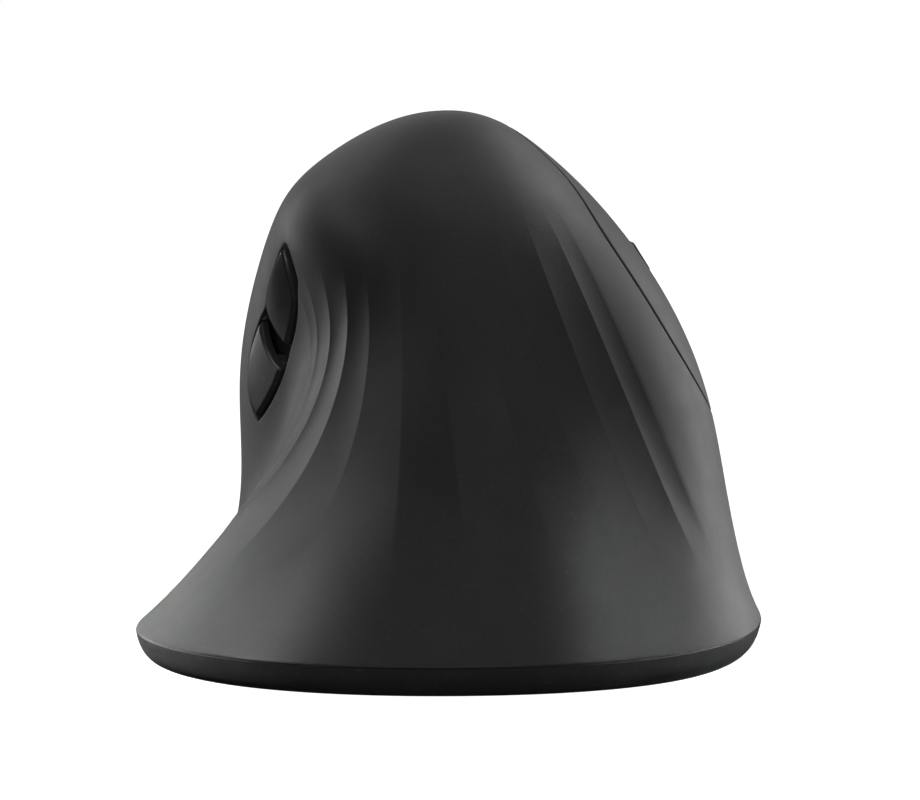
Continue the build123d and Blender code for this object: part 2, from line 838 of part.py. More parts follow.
def tact(size, height):
    """A square push switch with a round hole for its plunger, its face upwards."""
    body = Pos(0, 0, height / 2) * Box(size, size, height)
    body = chamfer(body.edges().filter_by(Axis.Z), size / 12)
    hole = rod(0, 0, height - plunger_depth, height + overrun, plunger_radius + running_gap)
    return body - hole


def plunger(height):
    """A switch's plunger, standing proud of a body of this height."""
    low = height - plunger_depth + plunger_play
    return rod(0, 0, low, height + plunger_proud, plunger_radius)


def snap_switch():
    """A snap switch: its case is in two steps, with a hole for its plunger."""
    base = block(-snap_width / 2, snap_width / 2, -snap_length / 2, snap_length / 2, 0, snap_height / 2)
    rim = seat_gap
    lid = block(
        rim - snap_width / 2, snap_width / 2 - rim, rim - snap_length / 2, snap_length / 2 - rim,
        snap_height / 2, snap_height,
    )
    hole = rod(0, 0, snap_height - plunger_depth, snap_height + overrun, plunger_radius + running_gap)
    for y in (-snap_length / 3, snap_length / 3):
        lid -= slope_rod(-snap_width, snap_width, y, snap_height * 0.72, seat_gap * 2)
    return base + lid - hole


def finger_seat(s, y):
    """A place on top of the finger board, with s counted from the split line."""
    return Pos(split_line + s, y, finger_board_top)


def key(forms, index):
    """A finger key: its plate, hinge ears and the post over its switch."""
    side = -1 if index else 1
    near, far = sorted((side * panel_gap / 2, side * panel_reach))
    region = finger_slab(near, far, key_rear, body_reach * 2, panel_start, panel_reach) - wheel_slot()
    inner = [on_finger(rod(split_line + side * snap_aside, snap_forward, post_level, panel_reach, post_radius))]
    half = ear_thickness / 2
    for s in key_ear_places[:2] if index else key_ear_places[2:]:
        rear, front = hinge_forward - ear_half, hinge_forward + ear_half
        inner.append(finger_slab(s - half, s + half, rear, front, hinge_level, panel_reach))
        ends = (split_line + s - half, split_line + s + half)
        inner.append(on_finger(slope_rod(*ends, hinge_forward, hinge_level, ear_half)))
    line = (split_line - panel_reach, split_line + panel_reach)
    bore = on_finger(slope_rod(*line, hinge_forward, hinge_level, hinge_pin_radius + running_gap))
    return (region & forms["panel_solid"]) - [region & (forms["hollow"] - inner), bore]


def wheel_slot():
    """The slot between the keys that the wheel stands out of."""
    half = wheel_width / 2 + wheel_slot_gap
    centre = wheel_forward + wheel_slot_shift
    reach = wheel_slot_length / 2
    return finger_slab(-half, half, centre - reach, centre + reach, finger_board_top, panel_reach)


def finger_cover(forms):
    """The fixed strip behind the keys, with the flange that laps under the shell."""
    rear = finger_slab(-panel_reach, panel_reach, -body_reach, key_rear - panel_gap, panel_start, panel_reach)
    wide = panel_prism(flange_width) & rear
    flange = (wide & forms["under"]) - (wide & forms["deep"])
    heels, arms = [], []
    for s, side in zip(key_ear_places, key_lug_sides):
        start = s + side * (ear_thickness / 2 + ear_gap)
        end = start + side * ear_thickness
        near, far = sorted((start, end))
        front = hinge_forward + ear_half
        arm = finger_slab(near, far, front - lug_reach, front, hinge_level - ear_half, hinge_level + ear_half)
        heel = finger_slab(near, far, front - lug_reach, key_rear - panel_gap, hinge_level - ear_half, panel_reach)
        heels.append(heel)
        arms.append(arm)
    line = (split_line - panel_reach, split_line + panel_reach)
    bore = on_finger(slope_rod(*line, hinge_forward, hinge_level, hinge_pin_radius + running_gap / 2))
    cover = (rear & forms["panel_solid"]) - (rear & (forms["deep"] - heels))
    cover = (cover + [flange, *arms]) - bore
    return cover.solids().sort_by(SortBy.VOLUME)[-1]


def key_hinge_pin():
    """The steel pin that both keys turn on."""
    return on_finger(
        slope_rod(split_line - hinge_pin_up, split_line + hinge_pin_down, hinge_forward, hinge_level, hinge_pin_radius)
    )


def wheel_axis(radius, half):
    """A cylinder on the wheel's axis."""
    return on_finger(slope_rod(split_line - half, split_line + half, wheel_forward, wheel_level, radius))


def scroll_tyre():
    """The ribbed rubber tyre."""
    ring = Cylinder(wheel_radius, wheel_width) - Cylinder(wheel_radius - tyre_wall, wheel_width * 2)
    edges = ring.edges().filter_by(GeomType.CIRCLE).sort_by(SortBy.RADIUS)[-2:]
    ring = fillet(edges, tyre_wall / 3)
    groove = Pos(wheel_radius, 0, 0) * Box(2 * tyre_rib_depth, tyre_rib_width, wheel_width * 0.72)
    ring -= [Rot(0, 0, turn * 360 / tyre_ribs) * groove for turn in range(tyre_ribs)]
    return on_finger(Pos(split_line, wheel_forward, wheel_level) * Rot(0, 90, 0) * ring)


def scroll_hub():
    """The wheel's hub, with a web, windows for the encoder's light and a boss."""
    rim = wheel_radius - tyre_wall - running_gap
    hub = Cylinder(rim, wheel_width) - Cylinder(rim - hub_web, wheel_width * 2)
    hub += Cylinder(rim - hub_web / 2, hub_web) + Cylinder(hub_boss_radius, wheel_width)
    for turn in range(hub_windows):
        hub -= Rot(0, 0, turn * 360 / hub_windows) * Pos(hub_window_circle, 0, 0) * Cylinder(hub_window_radius, wheel_width)
    hub -= Cylinder(axle_radius + running_gap / 2, wheel_width * 2)
    return on_finger(Pos(split_line, wheel_forward, wheel_level) * Rot(0, 90, 0) * hub)


def wheel_axle():
    """The steel axle, long enough for both cradle arms and the encoder."""
    near = wheel_width / 2 + cradle_gap + cradle_arm + running_gap
    far = near + encoder_gap + encoder_thickness
    return on_finger(slope_rod(split_line - near, split_line + far, wheel_forward, wheel_level, axle_radius))


def cradle_profile():
    """The side view of a cradle arm: forward, then outwards."""
    rear = cradle_pivot_forward - cradle_ear_half
    low = cradle_pivot_level - cradle_ear_half
    crest = wheel_level + cradle_foot * 0.7
    shoulder = cradle_pivot_level + cradle_ear_half
    foot = cradle_foot_level()
    points = [
        (rear, low), (rear, shoulder), (wheel_forward - cradle_foot, crest), (wheel_forward + cradle_foot, crest),
        (cradle_front, foot + cradle_bar), (cradle_front, foot), (cradle_front - cradle_foot, foot),
        (wheel_forward, wheel_level - cradle_foot), (rear + cradle_foot * 1.5, low),
    ]
    return points


def cradle_foot_level():
    """The underside of the cradle's foot, over the click switch's plunger."""
    return finger_board_top + tact_height + plunger_proud + post_gap


def wheel_cradle():
    """The frame that carries the wheel and presses the click switch."""
    inner = wheel_width / 2 + cradle_gap
    outer = inner + cradle_arm
    face = Face(Wire.make_polygon([Vector(0, y, d) for y, d in cradle_profile()]))
    cradle = None
    for side in (-1, 1):
        start = split_line + (inner if side > 0 else -outer)
        arm = Pos(start, 0, 0) * extrude(face, amount=cradle_arm, dir=(1, 0, 0))
        cradle = arm if cradle is None else cradle + arm
    foot = cradle_foot_level()
    cradle += block(
        split_line - outer, split_line + outer, cradle_front - cradle_foot, cradle_front, foot, foot + cradle_bar,
    )
    rear = cradle_pivot_forward - cradle_ear_half
    low = cradle_pivot_level - cradle_ear_half
    cradle += block(split_line - outer, split_line + outer, rear, rear + 2 * cradle_ear_half, low, low + 2 * cradle_ear_half)
    cradle -= slope_rod(
        split_line - panel_reach, split_line + panel_reach, cradle_pivot_forward, cradle_pivot_level,
        cradle_pin_radius + running_gap,
    )
    cradle -= slope_rod(
        split_line - panel_reach, split_line + panel_reach, wheel_forward, wheel_level, axle_radius + running_gap,
    )
    return on_finger(cradle)


def cradle_pin():
    """The pin that the cradle rocks on."""
    half = wheel_width / 2 + cradle_gap + cradle_arm + cradle_ear_gap + cradle_ear
    return on_finger(
        slope_rod(split_line - half, split_line + half, cradle_pivot_forward, cradle_pivot_level, cradle_pin_radius)
    )


def wheel_encoder():
    """The rotary encoder on the cradle's lower arm."""
    start = wheel_width / 2 + cradle_gap + cradle_arm + encoder_gap
    half = encoder_size / 2
    body = finger_slab(
        start, start + encoder_thickness, wheel_forward - half, wheel_forward + half,
        wheel_level - half, wheel_level + half * 0.6,
    )
    return body - wheel_axis(axle_radius + running_gap, panel_reach)


def finger_board():
    """The circuit board behind the finger keys."""
    board = finger_slab(
        -finger_board_up, finger_board_down, finger_board_rear, finger_board_front,
        finger_board_level, finger_board_top,
    )
    for s, y in finger_screw_places():
        board -= on_finger(rod(split_line + s, y, 0, panel_reach, screw_radius + 2 * running_gap))
    return board


def finger_post_places(*lines):
    """The bracket's posts on lines across the finger board."""
    sides = (-finger_board_up + bracket_standoff_radius, finger_board_down - bracket_standoff_radius)
    return [(s, y) for s in sides for y in lines]


def finger_screw_places():
    """Where the finger board is screwed down."""
    return finger_post_places(finger_board_rear + bracket_standoff_radius, finger_screw_forward)


def finger_bracket():
    """The inclined bracket that carries the finger board and the cradle's ears."""
    top = finger_board_level - bracket_standoff
    low = top - bracket_plate
    up, down = -finger_board_up - bracket_margin, finger_board_down + bracket_margin
    bracket = finger_slab(up, down, bracket_rear, finger_board_front, low, top)
    for s, y in finger_screw_places() + finger_post_places(finger_board_front - bracket_standoff_radius):
        bracket += on_finger(rod(split_line + s, y, low, finger_board_level, bracket_standoff_radius))
    for s, y in finger_screw_places():
        bracket -= on_finger(rod(split_line + s, y, low - overrun, panel_level, screw_radius + running_gap))
    inner = wheel_width / 2 + cradle_gap + cradle_arm + cradle_ear_gap
    for side in (-1, 1):
        near, far = sorted((side * inner, side * (inner + cradle_ear)))
        rear, front = cradle_pivot_forward - cradle_ear_half, cradle_pivot_forward + cradle_ear_half
        bracket += finger_slab(near, far, rear, front, low, cradle_pivot_level)
        eye = slope_rod(split_line + near, split_line + far, cradle_pivot_forward, cradle_pivot_level, cradle_ear_half)
        bracket += on_finger(eye)
    pin_hole = slope_rod(
        split_line - panel_reach, split_line + panel_reach, cradle_pivot_forward, cradle_pivot_level,
        cradle_pin_radius + running_gap / 2,
    )
    bracket -= on_finger(pin_hole)
    for y in bracket_leg_places():
        bracket += leg(y, low, up, down)
    return bracket


def leg(y, level, up, down):
    """One leg from the inclined plate down to its screw boss on the tray's floor."""
    normal, slope = finger_normal, finger_slope
    tip = level + bracket_plate / 2
    high = (normal[0] * tip + slope[0] * (split_line + up), normal[2] * tip + slope[2] * (split_line + up))
    near = (normal[0] * tip + slope[0] * (split_line + down), normal[2] * tip + slope[2] * (split_line + down))
    base = floor_top + seat_gap / 6
    knee = (bracket_foot_near, tray_bottom + bay_height + cell_radius)
    profile = [
        (bracket_foot_near, base), (bracket_foot_far, base), near, high, knee,
    ]
    face = Face(Wire.make_polygon([Vector(x, y - bracket_leg / 2, z) for x, z in profile]))
    web = extrude(face, amount=bracket_leg, dir=(0, 1, 0))
    web += rod(bracket_screw_x, y, base, base + bracket_boss_height, bracket_boss_radius)
    return web - rod(bracket_screw_x, y, 0, base + screw_length, screw_radius + running_gap)


def thumb_cap(forms, shares, switch_shares, guide_shares):
    """A thumb button: its cap, the stem over its switch and its guide peg."""
    prism = thumb_prism(shares)
    cap = (prism & forms["proud"]) - (prism & forms["sunk"])
    y, z = thumb_place(switch_shares)
    stem = side_rod(thumb_wall_far, thumb_post_x(), y, z, post_radius) & forms["sunk_core"]
    y, z = thumb_place(guide_shares)
    peg = side_rod(thumb_wall_far, thumb_post_x(), y, z, thumb_guide_radius) & forms["sunk_core"]
    return cap + stem + peg


def thumb_post_x():
    """Where the thumb buttons' stems end, just short of their switches' plungers."""
    return thumb_board_x - board_thickness - thumb_tact_height - plunger_proud - post_gap


def thumb_bracket(forms):
    """The plate behind the thumb buttons, with holes for their stems and two board bosses."""
    prism = side_prism(outline([Vector(*thumb_place(place)) for place in thumb_plate_shares], thumb_plate_width))
    plate = (prism & forms["under"]) - (prism & forms["deep"])
    bosses, holes = [], []
    for shares in thumb_boss_shares:
        y, z = thumb_place(shares)
        boss = side_rod(thumb_wall_far, thumb_board_x - board_thickness, y, z, thumb_boss_radius)
        bosses.append(boss & forms["under"])
        holes.append(side_rod(thumb_board_x - screw_length, thumb_board_x, y, z, screw_radius + running_gap))
    for shares in (thumb_back_switch_shares, thumb_forward_switch_shares):
        y, z = thumb_place(shares)
        holes.append(side_rod(thumb_wall_far, thumb_wall_near, y, z, post_radius + pair_gap))
    for shares in (thumb_back_guide_shares, thumb_forward_guide_shares):
        y, z = thumb_place(shares)
        holes.append(side_rod(thumb_wall_far, thumb_wall_near, y, z, thumb_guide_radius + running_gap))
    return (plate + bosses) - holes


def thumb_board():
    """The upright circuit board behind the thumb buttons."""
    board = block(
        thumb_board_x - board_thickness, thumb_board_x, thumb_board_rear, thumb_board_front,
        thumb_board_low, thumb_board_high,
    )
    for shares in thumb_boss_shares:
        y, z = thumb_place(shares)
        board -= side_rod(thumb_wall_far, 0, y, z, screw_radius + 2 * running_gap)
    return board


def facing_thumb(shares):
    """Turn a switch drawn face up so that it faces the thumb, on the thumb board."""
    y, z = thumb_place(shares)
    return Pos(thumb_board_x - board_thickness, y, z) * Rot(0, -90, 0)


def main_board():
    """The main circuit board, with the opening over the lens and its screw holes."""
    board = block(
        main_board_left, main_board_right, main_board_rear, main_board_front, main_board_level, main_board_top,
    )
    board -= rod(sensor_x, sensor_y, 0, body_height, lens_tower_radius + seat_gap)
    for x, y in main_post_places():
        board -= rod(x, y, 0, body_height, screw_radius + 2 * running_gap)
    return board


def optical_sensor():
    """The motion sensor on the main board, with its view down through the board."""
    body = block(
        sensor_x - sensor_width / 2, sensor_x + sensor_width / 2,
        sensor_y - sensor_length / 2, sensor_y + sensor_length / 2,
        main_board_top, main_board_top + sensor_height,
    )
    return body - rod(sensor_x, sensor_y, 0, main_board_top + sensor_height / 3, lens_tower_radius / 2)


def sensor_lens():
    """The clear lens between the floor's window and the sensor."""
    low = floor_top + running_gap
    plate = block(
        sensor_x - lens_width / 2, sensor_x + lens_width / 2, sensor_y - lens_length / 2, sensor_y + lens_length / 2,
        low, low + lens_plate,
    )
    tower = rod(sensor_x, sensor_y, low, main_board_top - running_gap, lens_tower_radius)
    window = block(
        sensor_x - aperture_width / 2 + seat_gap, sensor_x + aperture_width / 2 - seat_gap,
        sensor_y - aperture_length / 2 + seat_gap, sensor_y + aperture_length / 2 - seat_gap,
        floor_top - floor / 2, low,
    )
    return plate + tower + window


def sensor_led():
    """The lamp beside the sensor, with a domed end."""
    z = main_board_top + led_radius
    barrel = Pos(sensor_x, led_forward, z) * Rot(90, 0, 0) * Cylinder(led_radius, led_length)
    dome = Pos(sensor_x, led_forward - led_length / 2, z) * Sphere(led_radius)
    return barrel + dome


def circuit_chips():
    """The controller and the radio chip."""
    low, high = main_board_top, main_board_top + chip_height
    chips = []
    for y, size in ((chip_y, chip_size), (radio_y, radio_size)):
        chips.append(block(chip_x - size / 2, chip_x + size / 2, y - size / 2, y + size / 2, low, high))
    return group(chips)


def smoothing_capacitors():
    """Two upright can capacitors."""
    cans = []
    for x, y in can_places:
        can = rod(x, y, main_board_top, main_board_top + can_height, can_radius)
        cans.append(chamfer(can.edges().filter_by(GeomType.CIRCLE), can_radius / 8))
    return group(cans)


def board_sockets():
    """The two ribbon sockets on the main board."""
    low, high = main_board_top, main_board_top + plug_height
    finger = block(
        main_board_right - plug_depth, main_board_right,
        finger_plug_y - finger_plug_width / 2, finger_plug_y + finger_plug_width / 2, low, high,
    )
    half = plug_depth / 2
    thumb = block(
        thumb_plug_x - half, thumb_plug_x + half, thumb_plug_y - half, thumb_plug_y + half, low, high,
    )
    return group((finger, thumb))


def ribbon(points, y, width):
    """A flat ribbon bent through points in the XZ plane at a given y."""
    path = FilletPolyline([(x, y, z) for x, z in points], radius=ribbon_bend)
    section = Plane(origin=path @ 0, x_dir=(0, 1, 0), z_dir=path % 0) * Rectangle(width, ribbon_thickness)
    return sweep(section, path=path)


def finger_ribbon():
    """The ribbon from the finger board down to the main board."""
    normal, slope = finger_normal, finger_slope
    edge = split_line + finger_board_down + ribbon_gap
    mid = finger_board_level + board_thickness / 2
    start = (normal[0] * mid + slope[0] * edge, normal[2] * mid + slope[2] * edge)
    low = main_board_top + plug_height / 2
    bend = (bracket_foot_far + overrun, low + cell_radius)
    sag = (bracket_foot_far, low)
    end = (main_board_right + ribbon_gap, low)
    knee = (start[0] + overrun * slope[0] * 1.6, start[1] + overrun * slope[2] * 1.6)
    return ribbon([start, knee, bend, sag, end], finger_plug_y, finger_plug_width - overrun / 2)


def thumb_ribbon():
    """The ribbon from the thumb board down to the main board."""
    x = thumb_board_x - board_thickness / 2
    top = thumb_board_low - ribbon_gap
    low = main_board_top + plug_height + ribbon_gap
    third = (top - low) / 4
    points = [(x, top), (x, top - third), (x - overrun, top - 2 * third), (x, low + third), (x, low)]
    return ribbon(points, thumb_plug_y, plug_depth * 0.8)


def glide(place, margin, low, high):
    """A round-ended glide or its recess."""
    x, y, along_x, along_y = place
    long, short = max(along_x, along_y) + 2 * margin, min(along_x, along_y) + 2 * margin
    slot = SlotOverall(long, short, rotation=0 if along_x > along_y else 90)
    return Pos(x, y, low) * extrude(slot, amount=high - low)


def screw(length):
    """A pan-head screw pointing up from the underside of its head, with a cross recess."""
    head = rod(0, 0, -screw_head_height, 0, screw_head_radius)
    head = fillet(head.edges().filter_by(GeomType.CIRCLE).sort_by(Axis.Z)[:1], screw_head_height / 3)
    shank = rod(0, 0, -screw_head_height / 2, length, screw_radius)
    slot = screw_head_radius * 0.6
    thin = screw_head_radius / 6
    depth = -screw_head_height / 2
    cross = block(-slot, slot, -thin, thin, -overrun, depth) + block(-thin, thin, -slot, slot, -overrun, depth)
    return head + shank - cross


def case_screws():
    """The screws through the tray into the shell's posts and the bracket's feet."""
    seat = tray_bottom + screw_recess
    places = list(post_places) + [(bracket_screw_x, y) for y in bracket_leg_places()]
    return group(Pos(x, y, seat) * screw(screw_length) for x, y in places)


def board_screws():
    """The screws that hold the main board to its posts."""
    turned = Rot(180, 0, 0) * screw(main_board_top - floor_top)
    return group(Pos(x, y, main_board_top) * turned for x, y in main_post_places())


def finger_board_screws():
    """The screws that hold the finger board to its bracket."""
    turned = Rot(180, 0, 0) * screw(board_thickness + bracket_standoff)
    return group(on_finger(finger_seat(s, y) * turned) for s, y in finger_screw_places())


def thumb_board_screws():
    """The screws that hold the thumb board to its bracket."""
    screws = []
    for shares in thumb_boss_shares:
        y, z = thumb_place(shares)
        screws.append(Pos(thumb_board_x, y, z) * Rot(0, -90, 0) * screw(screw_length / 2))
    return group(screws)


def switch_parts():
    """Every switch and its plunger."""
    back, forward = facing_thumb(thumb_back_switch_shares), facing_thumb(thumb_forward_switch_shares)
    click_y = cradle_front - cradle_foot / 2
    pair = Pos(pair_x, pair_y, main_board_level) * Rot(180, 0, 0)
    return {
        "index_switch": on_finger(finger_seat(-snap_aside, snap_forward) * snap_switch()),
        "index_switch_plunger": on_finger(finger_seat(-snap_aside, snap_forward) * plunger(snap_height)),
        "middle_switch": on_finger(finger_seat(snap_aside, snap_forward) * snap_switch()),
        "middle_switch_plunger": on_finger(finger_seat(snap_aside, snap_forward) * plunger(snap_height)),
        "wheel_click_switch": on_finger(finger_seat(0, click_y) * tact(tact_size, tact_height)),
        "wheel_click_plunger": on_finger(finger_seat(0, click_y) * plunger(tact_height)),
        "thumb_back_switch": back * tact(tact_size, thumb_tact_height),
        "thumb_back_plunger": back * plunger(thumb_tact_height),
        "thumb_forward_switch": forward * tact(tact_size, thumb_tact_height),
        "thumb_forward_plunger": forward * plunger(thumb_tact_height),
        "pairing_switch": pair * tact(tact_size, base_tact_height),
        "pairing_plunger": pair * plunger(base_tact_height),
    }


def all_parts():
    """Every node of the mouse by its name."""
    outer, hollow = plain_skin(), cavity(-wall)
    forms = {
        "hollow": hollow,
        "panel_solid": panel_prism(0) & outer,
        "under": body_skin(-wall - seat_gap),
        "deep": cavity(-wall - seat_gap - flange_wall),
        "proud": body_skin(thumb_proud),
        "sunk": cavity(-thumb_depth),
        "sunk_core": body_skin(-thumb_depth / 2),
    }
    parts = {
        "palm_shell": palm_shell(forms),
        "base_tray": base_tray(forms),
        "finger_cover": finger_cover(forms),
        "index_button": key(forms, True),
        "middle_button": key(forms, False),
        "key_hinge_pin": key_hinge_pin(),
        "scroll_tyre": scroll_tyre(),
        "scroll_hub": scroll_hub(),
        "wheel_axle": wheel_axle(),
        "wheel_cradle": wheel_cradle(),
        "cradle_pin": cradle_pin(),
        "wheel_encoder": wheel_encoder(),
        "finger_board": finger_board(),
        "finger_bracket": finger_bracket(),
        "thumb_back_button": thumb_cap(
            forms, thumb_back_shares, thumb_back_switch_shares, thumb_back_guide_shares),
        "thumb_forward_button": thumb_cap(
            forms, thumb_forward_shares, thumb_forward_switch_shares, thumb_forward_guide_shares),
        "thumb_bracket": thumb_bracket(forms),
        "thumb_board": thumb_board(),
        "main_board": main_board(),
        "optical_sensor": optical_sensor(),
        "sensor_lens": sensor_lens(),
        "sensor_led": sensor_led(),
        "circuit_chips": circuit_chips(),
        "smoothing_capacitors": smoothing_capacitors(),
        "board_sockets": board_sockets(),
        "finger_ribbon": finger_ribbon(),
        "thumb_ribbon": thumb_ribbon(),
        "power_switch": power_switch(),
        "power_slider": power_slider(),
        "pairing_button": pairing_button(),
        "battery_cell": battery_cell(),
        "battery_contact_rear": contact(bay_rear, 1),
        "battery_contact_front": contact(bay_front, -1),
        "battery_door": battery_door(),
        "receiver_cap": receiver_cap(),
        "receiver_plug": receiver_plug(),
        "case_screws": case_screws(),
        "board_screws": board_screws(),
        "finger_board_screws": finger_board_screws(),
        "thumb_board_screws": thumb_board_screws(),
    }
    parts.update(switch_parts())
    for name, place in glide_places.items():
        parts[name] = glide(place, 0, 0, glide_thickness)
    return parts


os.makedirs("parts", exist_ok=True)
for node, shape in all_parts().items():
    export_step(Pos(centre_shift_x, centre_shift_y, 0) * shape, f"parts/{node}.step")
    print(node, len(shape.solids()), round(shape.volume, 1))
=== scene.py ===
import json
from math import cos, pi, radians, sin

import bpy
import numpy as np
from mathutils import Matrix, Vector, kdtree


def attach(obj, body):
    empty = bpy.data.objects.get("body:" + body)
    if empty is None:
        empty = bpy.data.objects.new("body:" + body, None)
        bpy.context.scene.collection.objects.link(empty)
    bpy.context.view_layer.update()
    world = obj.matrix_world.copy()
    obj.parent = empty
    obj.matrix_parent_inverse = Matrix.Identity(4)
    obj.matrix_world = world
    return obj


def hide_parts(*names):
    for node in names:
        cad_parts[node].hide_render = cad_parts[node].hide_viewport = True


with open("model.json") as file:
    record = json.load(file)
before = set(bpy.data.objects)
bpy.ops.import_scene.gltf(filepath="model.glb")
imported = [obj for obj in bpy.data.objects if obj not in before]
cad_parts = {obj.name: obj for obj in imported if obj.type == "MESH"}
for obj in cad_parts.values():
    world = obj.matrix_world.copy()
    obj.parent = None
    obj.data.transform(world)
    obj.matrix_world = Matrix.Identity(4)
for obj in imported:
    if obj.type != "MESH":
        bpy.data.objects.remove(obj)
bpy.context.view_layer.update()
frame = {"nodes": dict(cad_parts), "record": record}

# Lengths of the mouse are in millimetres and are turned into metres when a mesh is made
MM = 0.001

# The move that puts the middle of the whole mouse over the origin
centre_shift = (-0.58, 0.46, 0.0)

# Body form, with the same control rings as the solids
body_height = 69.2
crown_height = 68.9
body_reach = 50.0
body_axis = (0.5, -3.0)
seam_height = 4.4
wall = 2.0
post_wall_share = 0.8
seam_margin = 0.001
crown_drop_shares = (0.93, 0.07)
skin_lift_shares = (0.55, 0.4)
level_shares = (0, 0.040, 0.133, 0.272, 0.426, 0.580, 0.727, 0.850, 0.943, 1, 1)
reach_shares = (
    (0.772, 0.800, 1.020, 1.250, 1.040, 0.710, 0.690, 0.924, 1.096, 1.072, 1.064, 0.872),
    (0.746, 0.776, 1.000, 1.240, 1.010, 0.670, 0.610, 0.864, 1.050, 1.036, 1.036, 0.840),
    (0.714, 0.740, 0.960, 1.210, 0.980, 0.606, 0.460, 0.732, 0.948, 0.960, 0.968, 0.804),
    (0.684, 0.706, 0.916, 1.160, 0.956, 0.616, 0.376, 0.546, 0.770, 0.870, 0.884, 0.766),
    (0.656, 0.670, 0.850, 1.090, 0.930, 0.652, 0.384, 0.400, 0.610, 0.780, 0.800, 0.724),
    (0.584, 0.600, 0.760, 0.970, 0.860, 0.624, 0.416, 0.372, 0.510, 0.670, 0.696, 0.640),
    (0.468, 0.472, 0.596, 0.790, 0.710, 0.556, 0.460, 0.486, 0.524, 0.540, 0.560, 0.516),
    (0.336, 0.340, 0.416, 0.600, 0.540, 0.444, 0.416, 0.450, 0.432, 0.400, 0.400, 0.368),
    (0.200, 0.202, 0.250, 0.400, 0.352, 0.264, 0.252, 0.264, 0.260, 0.244, 0.240, 0.216),
    (0.090, 0.090, 0.110, 0.170, 0.160, 0.124, 0.106, 0.106, 0.106, 0.100, 0.100, 0.090),
    (0,) * 12,
)

# Grip flutes
flute_depth_shares = (0.080, 0.090, 0.090, 0.085, 0.050, 0.022, 0.018, 0.030, 0.045, 0.050, 0.050)
ridge_bearings_low = (206, 213, 221, 234.7, 247.3, 261, 272, 285, 295, 302.7, 311, 317)
ridge_bearings_mid = (215.5, 222.8, 232.8, 241.5, 250.3, 259.7, 269, 279.8, 288.7, 297, 305, 310.5)
ridge_bearings_high = (205, 217, 229, 239, 247, 257, 265.5, 276, 285, 294.4, 302.6, 308.3)
ridge_height_shares = (0.241, 0.488, 0.673)
ridge_span_shares = (0.164, 0.735)
flute_start_shares = (0.130, 0.320)
flute_end_shares = (0.680, 0.860)
flute_fade_share = 0.170
flute_step_shares = (0, 0.02, 0.06, 0.13, 0.22, 0.34, 0.5, 0.66, 0.78, 0.87, 0.94, 0.98)

# Finger panel, in the frame tilted about +Y: s down the slope, d outwards
finger_tilt = 32
panel_start = 12.0
split_line = -27.86
panel_gap = 0.35
key_end_gap = 1.1
key_rear = -4.0
panel_shares = (
    (-0.064, -0.486), (-0.190, -0.326), (-0.326, -0.154), (-0.386, 0.032), (-0.384, 0.190),
    (-0.284, 0.354), (-0.100, 0.416), (0.160, 0.425), (0.440, 0.410), (0.720, 0.366),
    (0.930, 0.292), (1.010, 0.190), (0.950, 0.076), (0.830, -0.010), (0.680, -0.128),
    (0.520, -0.264), (0.340, -0.374), (0.140, -0.450),
)
slot_half = 3.1
slot_rear = 1.4
slot_front = 23.8
hinge_forward = -2.0
hinge_level = 40.5
ear_half = 1.5
ear_thickness = 1.6
ear_height = 3.2
key_post_wall_share = 0.6
key_ear_places = (-16.0, -6.0, 6.0, 15.0)
snap_forward = 23.5
snap_aside = 8.3
post_level = 33.26
post_radius = 1.6

# Thumb buttons
thumb_wall_near = -8.0
thumb_proud = 0.4
thumb_thickness = 1.25
thumb_post_x = -15.86
thumb_post_share = 0.7
thumb_guide_radius = 1.1
thumb_opening_shares = (
    (-0.252, 0.758), (-0.300, 0.732), (-0.286, 0.689), (-0.172, 0.606), (-0.106, 0.549), (-0.020, 0.440),
    (0.094, 0.400), (0.243, 0.474), (0.056, 0.600), (0.033, 0.613), (0.010, 0.626), (0.004, 0.683),
)
thumb_back_shares = (
    (-0.234, 0.744), (-0.240, 0.694), (-0.217, 0.645), (-0.145, 0.605),
    (-0.098, 0.556), (-0.032, 0.578), (-0.001, 0.618), (0.000, 0.680),
)
thumb_forward_shares = (
    (0.048, 0.592), (0.020, 0.532), (-0.057, 0.510), (-0.024, 0.463), (0.088, 0.408), (0.230, 0.476),
)
thumb_back_switch_shares = (-0.130, 0.632)
thumb_back_guide_shares = (-0.165, 0.700)
thumb_forward_switch_shares = (0.020, 0.510)
thumb_forward_guide_shares = (0.088, 0.470)

# Screw posts under the shell
post_places = ((-25.0, -36.0), (28.0, -35.0), (-23.0, 30.0), (26.0, 30.0))
post_low = 6.35
post_height = 10.0
post_boss_radius = 3.0

# Mesh density, samples and limits of the cuts, and the rounding of the moulded edges
shell_columns = 210
shell_rows = 150
panel_columns = 620
panel_rows = 260
crown_power = 1.8
outline_samples = 1600
outline_reach = 6.0
outline_near = 1.0
lookup_samples = 4001
ceiling_samples = 300
rod_sides = 28
rod_along_share = 0.9
cut_snap = 0.004
sharp_angle = 38
normal_column = 3
field_column = 6
shell_edge = 0.25
key_edge = 0.32
thumb_edge = 0.5
edge_step_shares = (0.05, 0.25, 0.6, 1.0)

finger_normal = np.array((cos(radians(finger_tilt)), 0, sin(radians(finger_tilt))))
finger_slope = np.array((sin(radians(finger_tilt)), 0, -cos(radians(finger_tilt))))
rise = body_height - seam_height


def ease(share):
    """A smooth step from 0 to 1."""
    held = np.clip(share, 0, 1)
    return held * held * (3 - 2 * held)


def cubic_weights(t):
    """Weights of the four control values around a place on a uniform cubic curve."""
    return np.stack((
        (1 - t) ** 3 / 6,
        (3 * t ** 3 - 6 * t ** 2 + 4) / 6,
        (-3 * t ** 3 + 3 * t ** 2 + 3 * t + 1) / 6,
        t ** 3 / 6,
    ), axis=-1)


